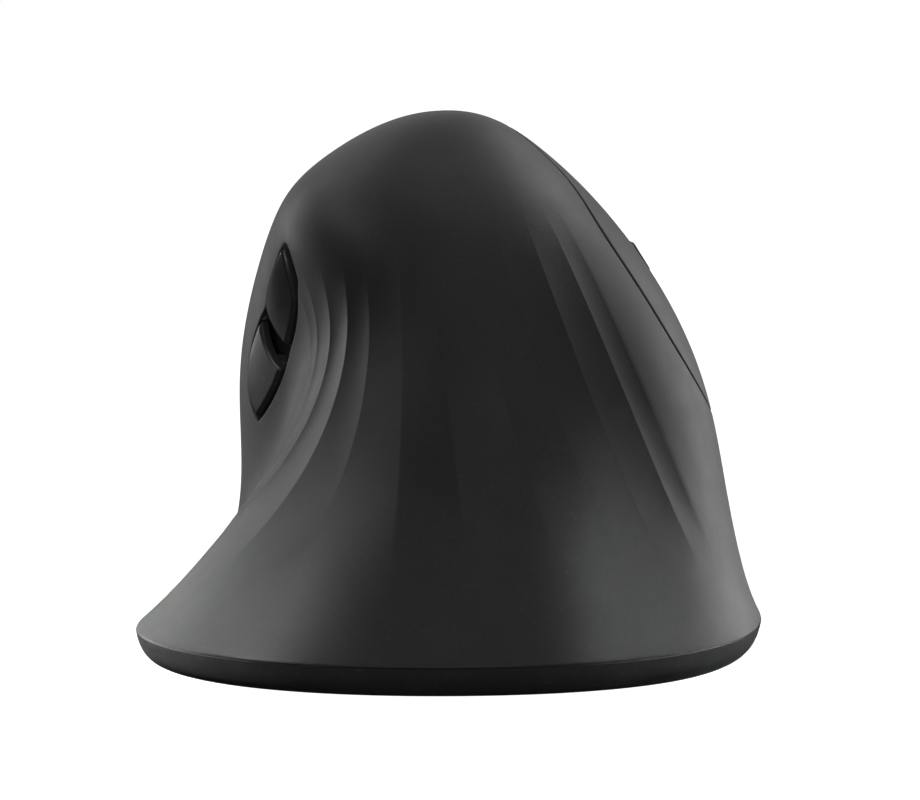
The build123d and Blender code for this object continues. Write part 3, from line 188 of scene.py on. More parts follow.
def ring_weights(v):
    """Weights of the control rings at places v, from 0 at the seam to 1 at the crown."""
    inner = len(level_shares) - 3
    knots = [0.0] * 4 + [k / inner for k in range(1, inner)] + [1.0] * 4
    weights = [((a <= v) & (v < b)).astype(float) for a, b in zip(knots[:-1], knots[1:])]
    for degree in range(1, 4):
        raised = []
        for i in range(len(weights) - 1):
            before = knots[i + degree] - knots[i]
            after = knots[i + degree + 1] - knots[i + 1]
            value = (v - knots[i]) / before * weights[i] if before else 0 * v
            value = value + ((knots[i + degree + 1] - v) / after * weights[i + 1] if after else 0)
            raised.append(value)
        weights = raised
    return np.stack(weights, axis=-1)


def column_radii(share):
    """The control radii of the form at heights, which are shares above the seam."""
    places = np.linspace(0, 1 - 1e-9, lookup_samples)
    heights = ring_weights(places) @ np.array(level_shares)
    return ring_weights(np.interp(share, heights, places)) @ np.array(reach_shares) * body_reach


def reach_at(bearing, columns):
    """The radius of the form at bearings in degrees, one row of columns for each."""
    count = columns.shape[-1]
    place = (bearing % 360) / (360 / count)
    first = np.floor(place).astype(int)
    index = (first[..., None] + np.arange(-1, 3)) % count
    return (cubic_weights(place - first) * np.take_along_axis(columns, index, axis=-1)).sum(-1)


def ridge_bearings(share):
    """The bearings of the flutes' ridges, one row for each height."""
    low, mid, high = ridge_height_shares
    place = np.clip(share, *ridge_span_shares)[:, None]
    a = (place - mid) * (place - high) / ((low - mid) * (low - high))
    b = (place - low) * (place - high) / ((mid - low) * (mid - high))
    c = (place - low) * (place - mid) / ((high - low) * (high - mid))
    rows = (ridge_bearings_low, ridge_bearings_mid, ridge_bearings_high)
    first, second, third = (np.array(row)[None, :] for row in rows)
    return a * first + b * second + c * third


def flute_strength(share, across_body):
    """The strength of the flutes at heights. They fade out below and above, higher on the finger side."""
    begin, full = flute_start_shares
    first, last = flute_end_shares
    end = first + (last - first) * across_body
    return ease((share - begin) / (full - begin)) * ease((end - share) / flute_fade_share)


def place_on_form(bearing, share, inset, offset):
    """Points on the form at bearings and heights, cut in by inset and moved out by offset."""
    columns = column_radii(share)
    radius = reach_at(bearing, columns) - inset + offset
    drop_start, drop_span = crown_drop_shares
    drop = (body_height - crown_height) * ease((share - drop_start) / drop_span)
    lift_start, lift_span = skin_lift_shares
    lift = offset * ease((share - lift_start) / lift_span)
    x = body_axis[0] + radius * np.cos(np.radians(bearing))
    y = body_axis[1] + radius * np.sin(np.radians(bearing))
    z = seam_height + rise * share - drop + lift
    return np.stack((x, y, z), axis=-1)


def height_rows(count):
    """Heights of the mesh's rows, closer together towards the crown."""
    steps = np.linspace(0, 1, count + 1)[:-1]
    return 1 - (1 - steps) ** crown_power


def fluted_bearings(share):
    """The bearings of the shell's mesh columns and how far the flutes cut in there, row by row."""
    ridges = ridge_bearings(share)
    steps = np.array(flute_step_shares)
    start, end = ridges[:, :-1, None], ridges[:, 1:, None]
    inside = (start + (end - start) * steps).reshape(len(share), -1)
    count = ridges.shape[1] - 1
    places = np.arange(count)[None, :, None]
    strength = flute_strength(share[:, None, None], (places + steps) / count)
    columns = np.repeat(column_radii(share)[:, None, :], count, axis=1)
    middle = reach_at((start + end)[:, :, 0] / 2, columns)
    depths = np.array(flute_depth_shares)[None, :, None]
    depth = depths * middle[:, :, None] * np.radians(end - start) * strength
    inset = (4 * depth * steps * (1 - steps)).reshape(len(share), -1)
    plain = np.linspace(0, 1, shell_columns + 1)[:-1]
    last, first = ridges[:, -1:], ridges[:, :1] + 360
    outside = last + (first - last) * plain
    return np.hstack((inside, outside)), np.hstack((inset, np.zeros_like(outside)))


def grid_mesh(rows, columns, points, crown):
    """Triangles over a grid that closes round the form and ends in one point at the crown."""
    index = np.arange(rows * columns).reshape(rows, columns)
    here, right = index[:-1], np.roll(index, -1, axis=1)[:-1]
    above, corner = index[1:], np.roll(index, -1, axis=1)[1:]
    first = np.stack((here, right, corner), axis=-1).reshape(-1, 3)
    second = np.stack((here, corner, above), axis=-1).reshape(-1, 3)
    top = index[-1]
    cap = np.stack((top, np.roll(top, -1), np.full_like(top, rows * columns)), axis=-1)
    return np.vstack((points.reshape(-1, 3), crown[None, :])), np.vstack((first, second, cap))


def skin_grid(fluted, offset):
    """A mesh of the whole form, with or without its flutes."""
    count = shell_rows if fluted else panel_rows
    share = height_rows(count)
    if fluted:
        bearing, inset = fluted_bearings(share)
    else:
        bearing = np.broadcast_to(np.linspace(0, 360, panel_columns + 1)[:-1], (count, panel_columns))
        inset = np.zeros_like(bearing)
    shares = np.broadcast_to(share[:, None], bearing.shape)
    points = place_on_form(bearing, shares, inset, offset)
    crown = np.array((*body_axis, crown_height + offset))
    return grid_mesh(count, bearing.shape[1], points, crown)


def vertex_normals(points, faces):
    """Smooth normals of a triangle mesh."""
    corners = points[faces]
    across = np.cross(corners[:, 1] - corners[:, 0], corners[:, 2] - corners[:, 0])
    total = np.zeros_like(points)
    for corner in range(3):
        np.add.at(total, faces[:, corner], across)
    return total / np.maximum(np.linalg.norm(total, axis=1, keepdims=True), 1e-12)


def smooth_loop(shares, width, height):
    """A closed cubic curve through points, sampled evenly, and its outward normals."""
    points = np.array(shares) * (width, height)
    count = len(points)
    spans = np.linalg.norm(np.roll(points, -1, axis=0) - points, axis=1)
    before = np.roll(spans, 1)
    system = np.zeros((count, count))
    slopes = (np.roll(points, -1, axis=0) - points) / spans[:, None]
    for i in range(count):
        system[i, i - 1] += before[i]
        system[i, i] += 2 * (before[i] + spans[i])
        system[i, (i + 1) % count] += spans[i]
    bends = np.linalg.solve(system, 6 * (slopes - np.roll(slopes, 1, axis=0)))
    per_span = outline_samples // count
    loop = []
    for i in range(count):
        h, m0, m1 = spans[i], bends[i], bends[(i + 1) % count]
        t = (np.arange(per_span) / per_span * h)[:, None]
        p0, p1 = points[i], points[(i + 1) % count]
        bow = m0 * (h - t) ** 3 / (6 * h) + m1 * t ** 3 / (6 * h)
        loop.append(bow + (p0 / h - m0 * h / 6) * (h - t) + (p1 / h - m1 * h / 6) * t)
    return facing_out(np.vstack(loop))


def corner_loop(shares, width, height):
    """A closed outline of curved sides between corners, sampled, and its outward normals."""
    points = np.array(shares) * (width, height)
    per_side = 2 * outline_samples // len(points)
    t = (np.arange(per_side) / per_side)[:, None]
    loop = []
    for k in range(0, len(points), 2):
        start, bend, end = points[k], points[k + 1], points[(k + 2) % len(points)]
        loop.append((1 - t) ** 2 * start + 2 * t * (1 - t) * bend + t ** 2 * end)
    return facing_out(np.vstack(loop))


def facing_out(loop):
    """A closed loop of points with its outward normals."""
    along = np.roll(loop, -1, axis=0) - np.roll(loop, 1, axis=0)
    along /= np.linalg.norm(along, axis=1, keepdims=True)
    area = (loop[:, 0] * np.roll(loop[:, 1], -1) - loop[:, 1] * np.roll(loop[:, 0], -1)).sum()
    turn = 1 if area > 0 else -1
    return loop, np.stack((along[:, 1], -along[:, 0]), axis=-1) * turn


def distance_outside(flat, active, loop, normals):
    """Signed distance of flat points from a closed curve: above 0 outside it."""
    low, high = loop.min(axis=0) - outline_reach, loop.max(axis=0) + outline_reach
    near = active & (flat > low).all(axis=1) & (flat < high).all(axis=1)
    tree = kdtree.KDTree(len(loop))
    for i, (x, y) in enumerate(loop):
        tree.insert((x, y, 0), i)
    tree.balance()
    result = np.full(len(flat), outline_reach)
    for k in np.nonzero(near)[0]:
        _, i, gap = tree.find((flat[k, 0], flat[k, 1], 0))
        side = float((flat[k] - loop[i]) @ normals[i])
        result[k] = side if gap < outline_near else (gap if side > 0 else -gap)
    return result


def panel_distance(points, start, margin):
    """Distance outside the finger panel's outline, widened by margin and begun at a level."""
    loop, normals = smooth_loop([(s, y) for y, s in panel_shares], body_reach, body_reach)
    flat = np.stack((points @ finger_slope - split_line, points[:, 1]), axis=-1)
    level = points @ finger_normal
    across = distance_outside(flat, level > start - wall, loop, normals) - margin
    return np.maximum(across, start - level)


def thumb_distance(points, shares):
    """Distance outside an outline on the thumb side."""
    loop, normals = corner_loop(shares, body_reach, body_height)
    return distance_outside(points[:, 1:], points[:, 0] < thumb_wall_near, loop, normals)


def split(table, faces, column, level, drop):
    """Cut the mesh along one level of a column of its table, and drop what lies below it."""
    value = table[:, column] - level
    value[np.abs(value) < cut_snap] = 0
    sign = np.sign(value)
    corner = sign[faces]
    mixed = (corner.min(axis=1) < 0) & (corner.max(axis=1) > 0)
    kept, rows, made = [], [], {}
    base = len(table)

    def crossing(a, b):
        """The new point where the level crosses an edge."""
        pair = (a, b) if a < b else (b, a)
        if pair not in made:
            t = value[pair[0]] / (value[pair[0]] - value[pair[1]])
            made[pair] = base + len(rows)
            rows.append(table[pair[0]] * (1 - t) + table[pair[1]] * t)
        return made[pair]

    for face in faces[mixed]:
        marks = [sign[i] for i in face]
        if 0 in marks:
            turn = marks.index(0)
            a, b, c = (int(face[(turn + k) % 3]) for k in range(3))
            m = crossing(b, c)
            kept += [(a, b, m), (a, m, c)]
        else:
            alone = next(k for k in range(3) if marks.count(marks[k]) == 1)
            a, b, c = (int(face[(alone + k) % 3]) for k in range(3))
            m, n = crossing(a, b), crossing(a, c)
            kept += [(a, m, n), (m, b, c), (m, c, n)]
    table = np.vstack([table] + [row[None, :] for row in rows]) if rows else table
    for pair, place in made.items():
        table[place, column] = level
    faces = np.vstack((faces[~mixed], np.array(kept, dtype=faces.dtype))) if kept else faces[~mixed]
    if drop:
        middle = table[faces][:, :, column].mean(axis=1)
        faces = faces[middle > level]
    return table, faces


def compact(table, faces):
    """Keep only the points that faces use."""
    used, renumbered = np.unique(faces, return_inverse=True)
    return table[used], renumbered.reshape(-1, 3)


def plate(points, faces, fields, thickness, edge):
    """A closed plate from the part of a skin where every field is above 0, with rounded edges."""
    normals = vertex_normals(points, faces)
    table = np.hstack((points, normals, np.stack(fields, axis=-1)))
    columns = range(field_column, table.shape[1])
    inside = (table[faces][:, :, field_column:].max(axis=1) > 0).all(axis=1)
    table, faces = compact(table, faces[inside])
    for column in columns:
        table, faces = split(table, faces, column, 0, True)
    table, faces = compact(table, faces)
    for column in columns:
        for step in edge_step_shares:
            table, faces = split(table, faces, column, step * edge, False)
    table, faces = compact(table, faces)
    normals = table[:, normal_column:field_column]
    normals = normals / np.linalg.norm(normals, axis=1, keepdims=True)
    depth = np.clip(1 - table[:, field_column:].min(axis=1) / edge, 0, 1)
    sunk = edge * (1 - np.sqrt(1 - depth ** 2))
    outer = table[:, :3] - normals * sunk[:, None]
    inner = table[:, :3] - normals * thickness
    count = len(table)
    edges = np.vstack((faces[:, [0, 1]], faces[:, [1, 2]], faces[:, [2, 0]]))
    keys = np.sort(edges, axis=1)
    _, first, uses = np.unique(keys, axis=0, return_index=True, return_counts=True)
    rim = edges[first[uses == 1]]
    quads = np.stack((rim[:, 1], rim[:, 0], rim[:, 0] + count, rim[:, 1] + count), axis=-1)
    triangles = np.vstack((faces, faces[:, ::-1] + count))
    return np.vstack((outer, inner)), [*triangles.tolist(), *quads.tolist()]


def rod(start, end, radius):
    """A closed cylinder between two points."""
    start, end = np.array(start, float), np.array(end, float)
    axis = (end - start) / np.linalg.norm(end - start)
    side = np.cross(axis, (0, 1, 0) if abs(axis[1]) < rod_along_share else (1, 0, 0))
    side /= np.linalg.norm(side)
    other = np.cross(axis, side)
    sides = rod_sides
    turns = np.arange(sides) / sides * 2 * pi
    ring = radius * (np.cos(turns)[:, None] * side + np.sin(turns)[:, None] * other)
    points = np.vstack((start + ring, end + ring))
    walls = [[i, (i + 1) % sides, sides + (i + 1) % sides, sides + i] for i in range(sides)]
    return points, [*walls, list(range(sides))[::-1], [sides + i for i in range(sides)]]


def brick(corner, size, axes):
    """A closed box from one corner, along three axes."""
    reach = [np.array(axis, float) * length for axis, length in zip(axes, size)]
    points = [
        np.array(corner, float) + x * reach[0] + y * reach[1] + z * reach[2]
        for z in (0, 1) for y in (0, 1) for x in (0, 1)
    ]
    faces = [[0, 2, 3, 1], [4, 5, 7, 6], [0, 1, 5, 4], [2, 6, 7, 3], [0, 4, 6, 2], [1, 3, 7, 5]]
    return np.array(points), faces


def joined(shapes):
    """Several shapes as one list of points and faces."""
    points, faces, start = [], [], 0
    for part_points, part_faces in shapes:
        points.append(part_points)
        faces += [[start + i for i in face] for face in part_faces]
        start += len(part_points)
    return np.vstack(points), faces


def add_piece(name, shape, body, material):
    """Put a shape into the scene in place of the node whose name it takes."""
    points, faces = shape
    mesh = bpy.data.meshes.new(name)
    mesh.from_pydata(((points + centre_shift) * MM).tolist(), [], faces)
    mesh.shade_smooth()
    mesh.set_sharp_from_angle(angle=radians(sharp_angle))
    mesh.materials.append(material)
    piece = bpy.data.objects.new(name + "_surface", mesh)
    bpy.context.scene.collection.objects.link(piece)
    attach(piece, body)
    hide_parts(name)
    return piece


def finger_place(s, y, d):
    """A point given in the finger frame, with s counted from the split line."""
    return finger_slope * (split_line + s) + finger_normal * d + np.array((0, y, 0))


def ceiling(x, y):
    """The level of the shell's inner face over a place, a little inside the wall."""
    share = np.linspace(0, 0.95, ceiling_samples)
    bearing = np.degrees(np.arctan2(y - body_axis[1], x - body_axis[0]))
    radius = reach_at(np.full_like(share, bearing), column_radii(share)) - wall * post_wall_share
    distance = np.hypot(x - body_axis[0], y - body_axis[1])
    return seam_height + rise * share[np.argmax(radius < distance)]


def screw_post(x, y):
    """A screw post, cut off where it meets the shell."""
    points, faces = rod((x, y, post_low), (x, y, post_low + post_height), post_boss_radius)
    for point in points[len(points) // 2:]:
        point[2] = min(point[2], ceiling(point[0], point[1]))
    return points, faces


def make_shell(material):
    """The fluted shell, with the openings for the finger panel and the thumb buttons."""
    points, faces = skin_grid(True, 0)
    fields = [
        panel_distance(points, panel_start - key_end_gap, panel_gap),
        thumb_distance(points, thumb_opening_shares),
        points[:, 2] - seam_height + seam_margin,
    ]
    posts = [screw_post(x, y) for x, y in post_places]
    shape = joined([plate(points, faces, fields, wall, shell_edge), *posts])
    return add_piece("palm_shell", shape, "case", material)


def slot_distance(points):
    """Distance outside the wheel's slot."""
    s = np.abs(points @ finger_slope - split_line) - slot_half
    y = np.abs(points[:, 1] - (slot_rear + slot_front) / 2) - (slot_front - slot_rear) / 2
    return np.maximum(s, y)


def make_finger_side(material):
    """The fixed cover and the two keys, on one fine skin."""
    points, faces = skin_grid(False, 0)
    inside = -panel_distance(points, panel_start, 0)
    s = points @ finger_slope - split_line
    y = points[:, 1]
    cover = plate(points, faces, [inside, key_rear - panel_gap - y], wall, key_edge)
    add_piece("finger_cover", cover, "case", material)
    for name, body, side, ears in (
        ("index_button", "index_key", -1, key_ear_places[:2]),
        ("middle_button", "middle_key", 1, key_ear_places[2:]),
    ):
        fields = [inside, y - key_rear, side * s - panel_gap / 2, slot_distance(points)]
        shapes = [plate(points, faces, fields, wall, key_edge)]
        foot = finger_place(side * snap_aside, snap_forward, post_level)
        outer = shapes[0][0][:len(shapes[0][0]) // 2]
        aside = outer @ finger_slope - foot @ finger_slope
        near = outer[np.argmin(np.hypot(aside, outer[:, 1] - foot[1]))]
        height = (near - foot) @ finger_normal - wall * key_post_wall_share
        shapes.append(rod(foot, foot + finger_normal * height, post_radius))
        for ear in ears:
            corner = finger_place(ear - ear_thickness / 2, hinge_forward - ear_half, hinge_level)
            axes = (finger_slope, (0, 1, 0), finger_normal)
            shapes.append(brick(corner, (ear_thickness, 2 * ear_half, ear_height), axes))
            halves = (-ear_thickness / 2, ear_thickness / 2)
            ends = [finger_place(ear + half, hinge_forward, hinge_level) for half in halves]
            shapes.append(rod(*ends, ear_half))
        add_piece(name, joined(shapes), body, material)


def make_thumb_buttons(material):
    """The two thumb buttons, with their stems and guide pegs."""
    points, faces = skin_grid(False, thumb_proud)
    for name, body, outline, switch, guide in (
        (
            "thumb_back_button", "thumb_back",
            thumb_back_shares, thumb_back_switch_shares, thumb_back_guide_shares,
        ),
        (
            "thumb_forward_button", "thumb_forward",
            thumb_forward_shares, thumb_forward_switch_shares, thumb_forward_guide_shares,
        ),
    ):
        cap = plate(points, faces, [-thumb_distance(points, outline)], thumb_thickness, thumb_edge)
        shapes = [cap]
        outer = cap[0][:len(cap[0]) // 2]
        for shares, radius in ((switch, post_radius), (guide, thumb_guide_radius)):
            y, z = shares[0] * body_reach, shares[1] * body_height
            near = outer[np.argmin(np.hypot(outer[:, 1] - y, outer[:, 2] - z))]
            start = (near[0] + thumb_thickness * thumb_post_share, y, z)
            shapes.append(rod(start, (thumb_post_x, y, z), radius))
        add_piece(name, joined(shapes), body, material)


# Materials: scales in features to the metre, the rest as shares
cloud_scale = 95
mark_scale = 260
speck_scale_share = 0.7
speck_gain = 1.9
coarse_scale_share = 0.22
coarse_depth_share = 1.5
coarse_strength = 0.6
line_smoother = 0.07
line_rougher = 0.09
# Places of a colour mix's sockets, which share their names with those of its other kinds
mix_colour_inputs = (6, 7)
mix_colour_output = 2


class Nodes:
    """A material's node tree, with short ways to add and join nodes."""

    def __init__(self, name):
        self.material = bpy.data.materials.new(name)
        self.material.use_nodes = True
        self.tree = self.material.node_tree
        self.shader = self.tree.nodes["Principled BSDF"]
        self.place = self.tree.nodes.new("ShaderNodeTexCoord").outputs["Object"]

    def set(self, **values):
        """Set the shader's own sockets by name, with _ for a blank."""
        for key, value in values.items():
            self.shader.inputs[key.replace("_", " ")].default_value = value

    def join(self, start, end):
        """Join an output to an input."""
        self.tree.links.new(start, end)

    def scaled(self, x, y, z):
        """The object's own coordinates, stretched."""
        node = self.tree.nodes.new("ShaderNodeMapping")
        node.inputs["Scale"].default_value = (x, y, z)
        self.join(self.place, node.inputs["Vector"])
        return node.outputs["Vector"]

    def noise(self, scale, detail=3.0, rough=0.55, place=None):
        """A noise field of a scale in features to the metre."""
        node = self.tree.nodes.new("ShaderNodeTexNoise")
        node.inputs["Scale"].default_value = scale
        node.inputs["Detail"].default_value = detail
        node.inputs["Roughness"].default_value = rough
        self.join(place or self.place, node.inputs["Vector"])
        return node.outputs["Fac"]

    def cells(self, scale, feature="F1"):
        """A cell field of a scale in cells to the metre."""
        node = self.tree.nodes.new("ShaderNodeTexVoronoi")
        node.feature = feature
        node.inputs["Scale"].default_value = scale
        self.join(self.place, node.inputs["Vector"])
        return node.outputs["Distance"]

    def span(self, value, low, high, start=0.3, end=0.7):
        """A field mapped from start..end onto low..high."""
        node = self.tree.nodes.new("ShaderNodeMapRange")
        node.inputs["From Min"].default_value = start
        node.inputs["From Max"].default_value = end
        node.inputs["To Min"].default_value = low
        node.inputs["To Max"].default_value = high
        self.join(value, node.inputs["Value"])
        return node.outputs["Result"]

    def mix(self, factor, first, second):
        """A colour between two colours, each a field or a fixed colour."""
        node = self.tree.nodes.new("ShaderNodeMix")
        node.data_type = "RGBA"
        self.join(factor, node.inputs["Factor"])
        for index, value in zip(mix_colour_inputs, (first, second)):
            socket = node.inputs[index]
            if isinstance(value, tuple):
                socket.default_value = (*value, 1)
            else:
                self.join(value, socket)
        return node.outputs[mix_colour_output]

    def colour(self, value):
        """Join a field to the base colour."""
        self.join(value, self.shader.inputs["Base Color"])

    def roughness(self, value):
        """Join a field to the roughness."""
        self.join(value, self.shader.inputs["Roughness"])

    def bump(self, height, depth, strength=1.0):
        """Relief of a depth in millimetres, on top of what is there already."""
        node = self.tree.nodes.new("ShaderNodeBump")
        node.inputs["Strength"].default_value = strength
        node.inputs["Distance"].default_value = depth * MM
        self.join(height, node.inputs["Height"])
        if self.shader.inputs["Normal"].is_linked:
            before = self.shader.inputs["Normal"].links[0].from_socket
            self.join(before, node.inputs["Normal"])
        self.join(node.outputs["Normal"], self.shader.inputs["Normal"])


def moulded(name, dark, light, rough, grain=2600, depth=0.012, spread=0.05, **values):
    """Moulded plastic: fine spark-eroded grain, faint clouding and handling marks."""
    nodes = Nodes(name)
    cloud = nodes.noise(cloud_scale, detail=4)
    colour = nodes.mix(nodes.span(cloud, 0, 1), dark, light)
    specks = nodes.span(nodes.noise(grain * speck_scale_share, detail=1), 0, 0.35, start=0.62, end=0.74)
    colour = nodes.mix(specks, colour, tuple(min(1, c * speck_gain) for c in light))
    nodes.colour(colour)
    marks = nodes.noise(mark_scale, detail=5, rough=0.7)
    nodes.roughness(nodes.span(marks, rough - spread, rough + spread))
    nodes.bump(nodes.noise(grain, detail=2), depth)
    coarse = nodes.noise(grain * coarse_scale_share, detail=2)
    nodes.bump(coarse, depth * coarse_depth_share, coarse_strength)
    nodes.set(**values)
    return nodes.material


def rubber(name):
    """Wheel rubber: dull, with a dusty bloom in patches."""
    nodes = Nodes(name)
    bloom = nodes.span(nodes.noise(420, detail=5, rough=0.65), 0, 1, start=0.4, end=0.75)
    nodes.colour(nodes.mix(bloom, (0.035, 0.035, 0.037), (0.085, 0.084, 0.082)))
    nodes.roughness(nodes.span(bloom, 0.62, 0.85, start=0, end=1))
    nodes.bump(nodes.noise(3200, detail=3), 0.02)
    nodes.set(Sheen_Weight=0.15)
    return nodes.material


def metal(name, dark, light, rough, stretch=(60, 2600, 2600)):
    """Drawn or ground metal with fine lines along one direction."""
    nodes = Nodes(name)
    lines = nodes.noise(1, detail=4, rough=0.6, place=nodes.scaled(*stretch))
    blot = nodes.noise(350, detail=4)
    colour = nodes.mix(nodes.span(lines, 0, 1), dark, light)
    nodes.colour(nodes.mix(nodes.span(blot, 0, 0.4), colour, dark))
    nodes.roughness(nodes.span(lines, rough - line_smoother, rough + line_rougher))
    nodes.bump(lines, 0.004)
    nodes.set(Metallic=1.0)
    return nodes.material


def circuit_board(name):
    """Green solder mask over copper tracks, with pads that show tinned."""
    nodes = Nodes(name)
    tracks = nodes.span(nodes.cells(420, "DISTANCE_TO_EDGE"), 1, 0, start=0.02, end=0.06)
    colour = nodes.mix(tracks, (0.008, 0.085, 0.035), (0.02, 0.2, 0.07))
    pads = nodes.span(nodes.cells(560), 1, 0, start=0.13, end=0.16)
    nodes.colour(nodes.mix(pads, colour, (0.55, 0.5, 0.38)))
    nodes.roughness(nodes.span(nodes.noise(900, detail=3), 0.28, 0.45))
    nodes.bump(tracks, 0.03)
    return nodes.material


def clear_lens(name):
    """Clear moulded lens with a faint haze."""
    nodes = Nodes(name)
    haze = nodes.noise(700, detail=3)
    nodes.colour(nodes.mix(nodes.span(haze, 0, 1), (0.88, 0.92, 0.94), (0.96, 0.97, 0.97)))
    nodes.roughness(nodes.span(haze, 0.03, 0.16))
    nodes.bump(nodes.noise(1800, detail=2), 0.003)
    nodes.set(Transmission_Weight=0.9, IOR=1.49)
    return nodes.material


def cell_sleeve(name):
    """A plain shrink sleeve in two tones, with fine wrinkles."""
    nodes = Nodes(name)
    separate = nodes.tree.nodes.new("ShaderNodeSeparateXYZ")
    nodes.join(nodes.place, separate.inputs["Vector"])
    band = nodes.span(separate.outputs["Y"], 0, 1, start=-0.0105, end=-0.0100)
    colour = nodes.mix(band, (0.045, 0.05, 0.06), (0.42, 0.3, 0.16))
    wear = nodes.span(nodes.noise(300, detail=4), 0, 0.3)
    nodes.colour(nodes.mix(wear, colour, (0.16, 0.15, 0.14)))
    nodes.roughness(nodes.span(nodes.noise(500, detail=3), 0.2, 0.38))
    nodes.bump(nodes.noise(1, detail=3, rough=0.5, place=nodes.scaled(900, 220, 900)), 0.03)
    nodes.set(Coat_Weight=0.3)
    return nodes.material


def ribbon_film(name):
    """Pale ribbon film with its conductors as fine stripes."""
    nodes = Nodes(name)
    separate = nodes.tree.nodes.new("ShaderNodeSeparateXYZ")
    nodes.join(nodes.scaled(1200, 1200, 1200), separate.inputs["Vector"])
    wave = nodes.tree.nodes.new("ShaderNodeMath")
    wave.operation = "PINGPONG"
    wave.inputs[1].default_value = 0.5
    nodes.join(separate.outputs["Y"], wave.inputs[0])
    stripes = nodes.span(wave.outputs[0], 0, 1, start=0.2, end=0.3)
    nodes.colour(nodes.mix(stripes, (0.66, 0.68, 0.68), (0.5, 0.44, 0.34)))
    nodes.roughness(nodes.span(nodes.noise(800, detail=2), 0.25, 0.4))
    nodes.bump(stripes, 0.05)
    return nodes.material


def make_materials():
    """One material for each of the record's slots."""
    soft = dict(Sheen_Weight=0.5, Sheen_Roughness=0.45, Specular_IOR_Level=0.5)
    return {
        "shell_plastic": moulded(
            "soft_touch_shell", (0.017, 0.0172, 0.018), (0.023, 0.0232, 0.024), 0.47, **soft,
        ),
        "panel_plastic": moulded(
            "soft_touch_panel", (0.018, 0.0182, 0.019), (0.024, 0.0242, 0.025), 0.45, **soft,
        ),
        "tray_plastic": moulded(
            "tray_black", (0.034, 0.034, 0.0345), (0.042, 0.042, 0.0425), 0.4, 2000, 0.02,
        ),
        "thumb_plastic": moulded(
            "satin_black", (0.05, 0.05, 0.051), (0.054, 0.054, 0.055), 0.34, 900, 0.0004, 0.02,
            Coat_Weight=0.3, Coat_Roughness=0.1,
        ),
        "tyre_rubber": rubber("wheel_rubber"),
        "hub_plastic": moulded("hub_grey", (0.13, 0.13, 0.135), (0.17, 0.17, 0.175), 0.4),
        "frame_plastic": moulded("frame_black", (0.02, 0.02, 0.021), (0.03, 0.03, 0.031), 0.55, 1800, 0.02),
        "pin_steel": metal("ground_steel", (0.42, 0.42, 0.43), (0.62, 0.62, 0.63), 0.26),
        "screw_steel": metal("plated_screw", (0.16, 0.16, 0.17), (0.32, 0.32, 0.33), 0.36),
        "board_laminate": circuit_board("board_green"),
        "chip_plastic": moulded("chip_epoxy", (0.014, 0.014, 0.015), (0.02, 0.02, 0.021), 0.6, 3800, 0.015),
        "lens_plastic": clear_lens("lens_clear"),
        "lamp_plastic": moulded(
            "lamp_tint", (0.3, 0.01, 0.01), (0.45, 0.03, 0.03), 0.14, 1500, 0.003,
            Transmission_Weight=0.5,
        ),
        "can_aluminium": metal("can_metal", (0.62, 0.62, 0.63), (0.8, 0.8, 0.81), 0.3, (1500, 1500, 60)),
        "socket_plastic": moulded("socket_nylon", (0.66, 0.62, 0.5), (0.74, 0.7, 0.6), 0.42, 2200, 0.01),
        "ribbon_film": ribbon_film("ribbon_film"),
        "switch_case": moulded("switch_case", (0.03, 0.03, 0.033), (0.045, 0.045, 0.048), 0.42, 2600, 0.012),
        "switch_plunger": moulded(
            "plunger_acetal", (0.62, 0.6, 0.54), (0.74, 0.73, 0.68), 0.35, 2400, 0.006,
        ),
        "slider_plastic": moulded("slider_grey", (0.2, 0.2, 0.205), (0.26, 0.26, 0.265), 0.45),
        "cell_wrap": cell_sleeve("cell_sleeve"),
        "contact_steel": metal(
            "nickel_contact", (0.5, 0.48, 0.43), (0.72, 0.7, 0.64), 0.24, (2400, 300, 60),
        ),
        "receiver_plastic": moulded("receiver_black", (0.014, 0.014, 0.015), (0.02, 0.02, 0.021), 0.48),
        "receiver_steel": metal("plug_steel", (0.5, 0.5, 0.51), (0.7, 0.7, 0.71), 0.22, (2400, 2400, 80)),
        "glide_plastic": moulded("glide_film", (0.05, 0.05, 0.053), (0.07, 0.07, 0.074), 0.32, 1400, 0.01),
    }


def dress_nodes(materials):
    """Give each node of the frame the material of its slot."""
    for row in frame["record"]["subparts"]:
        node = frame["nodes"][row["node"]]
        node.data.materials.clear()
        node.data.materials.append(materials[row["material_slot"]])


# Camera: the photograph's view is close to level, from behind the mouse, through a long lens
camera_tilt = 5.5
camera_distance = 600.0
camera_focus_px = 4664.0
camera_target = (0.0, -10.0, 33.0)
camera_centre_px = (446.5, 391.8)
photo_size_px = (920, 800)
sensor = 36.0


def make_camera():
    """The camera at the photograph's viewing angle."""
    data = bpy.data.cameras.new("photo_camera")
    data.sensor_width = sensor
    data.lens = camera_focus_px * sensor / photo_size_px[0]
    data.shift_x = (photo_size_px[0] / 2 - camera_centre_px[0]) / photo_size_px[0]
    data.shift_y = (camera_centre_px[1] - photo_size_px[1] / 2) / photo_size_px[0]
    data.clip_start = 0.01
    data.clip_end = 20
    camera = bpy.data.objects.new("photo_camera", data)
    tilt = radians(camera_tilt)
    ahead = np.array((0, cos(tilt), -sin(tilt)))
    target = np.array(camera_target) + centre_shift
    camera.location = Vector(((target - camera_distance * ahead) * MM).tolist())
    camera.rotation_euler = (pi / 2 - tilt, 0, 0)
    bpy.context.scene.collection.objects.link(camera)
    bpy.context.scene.camera = camera


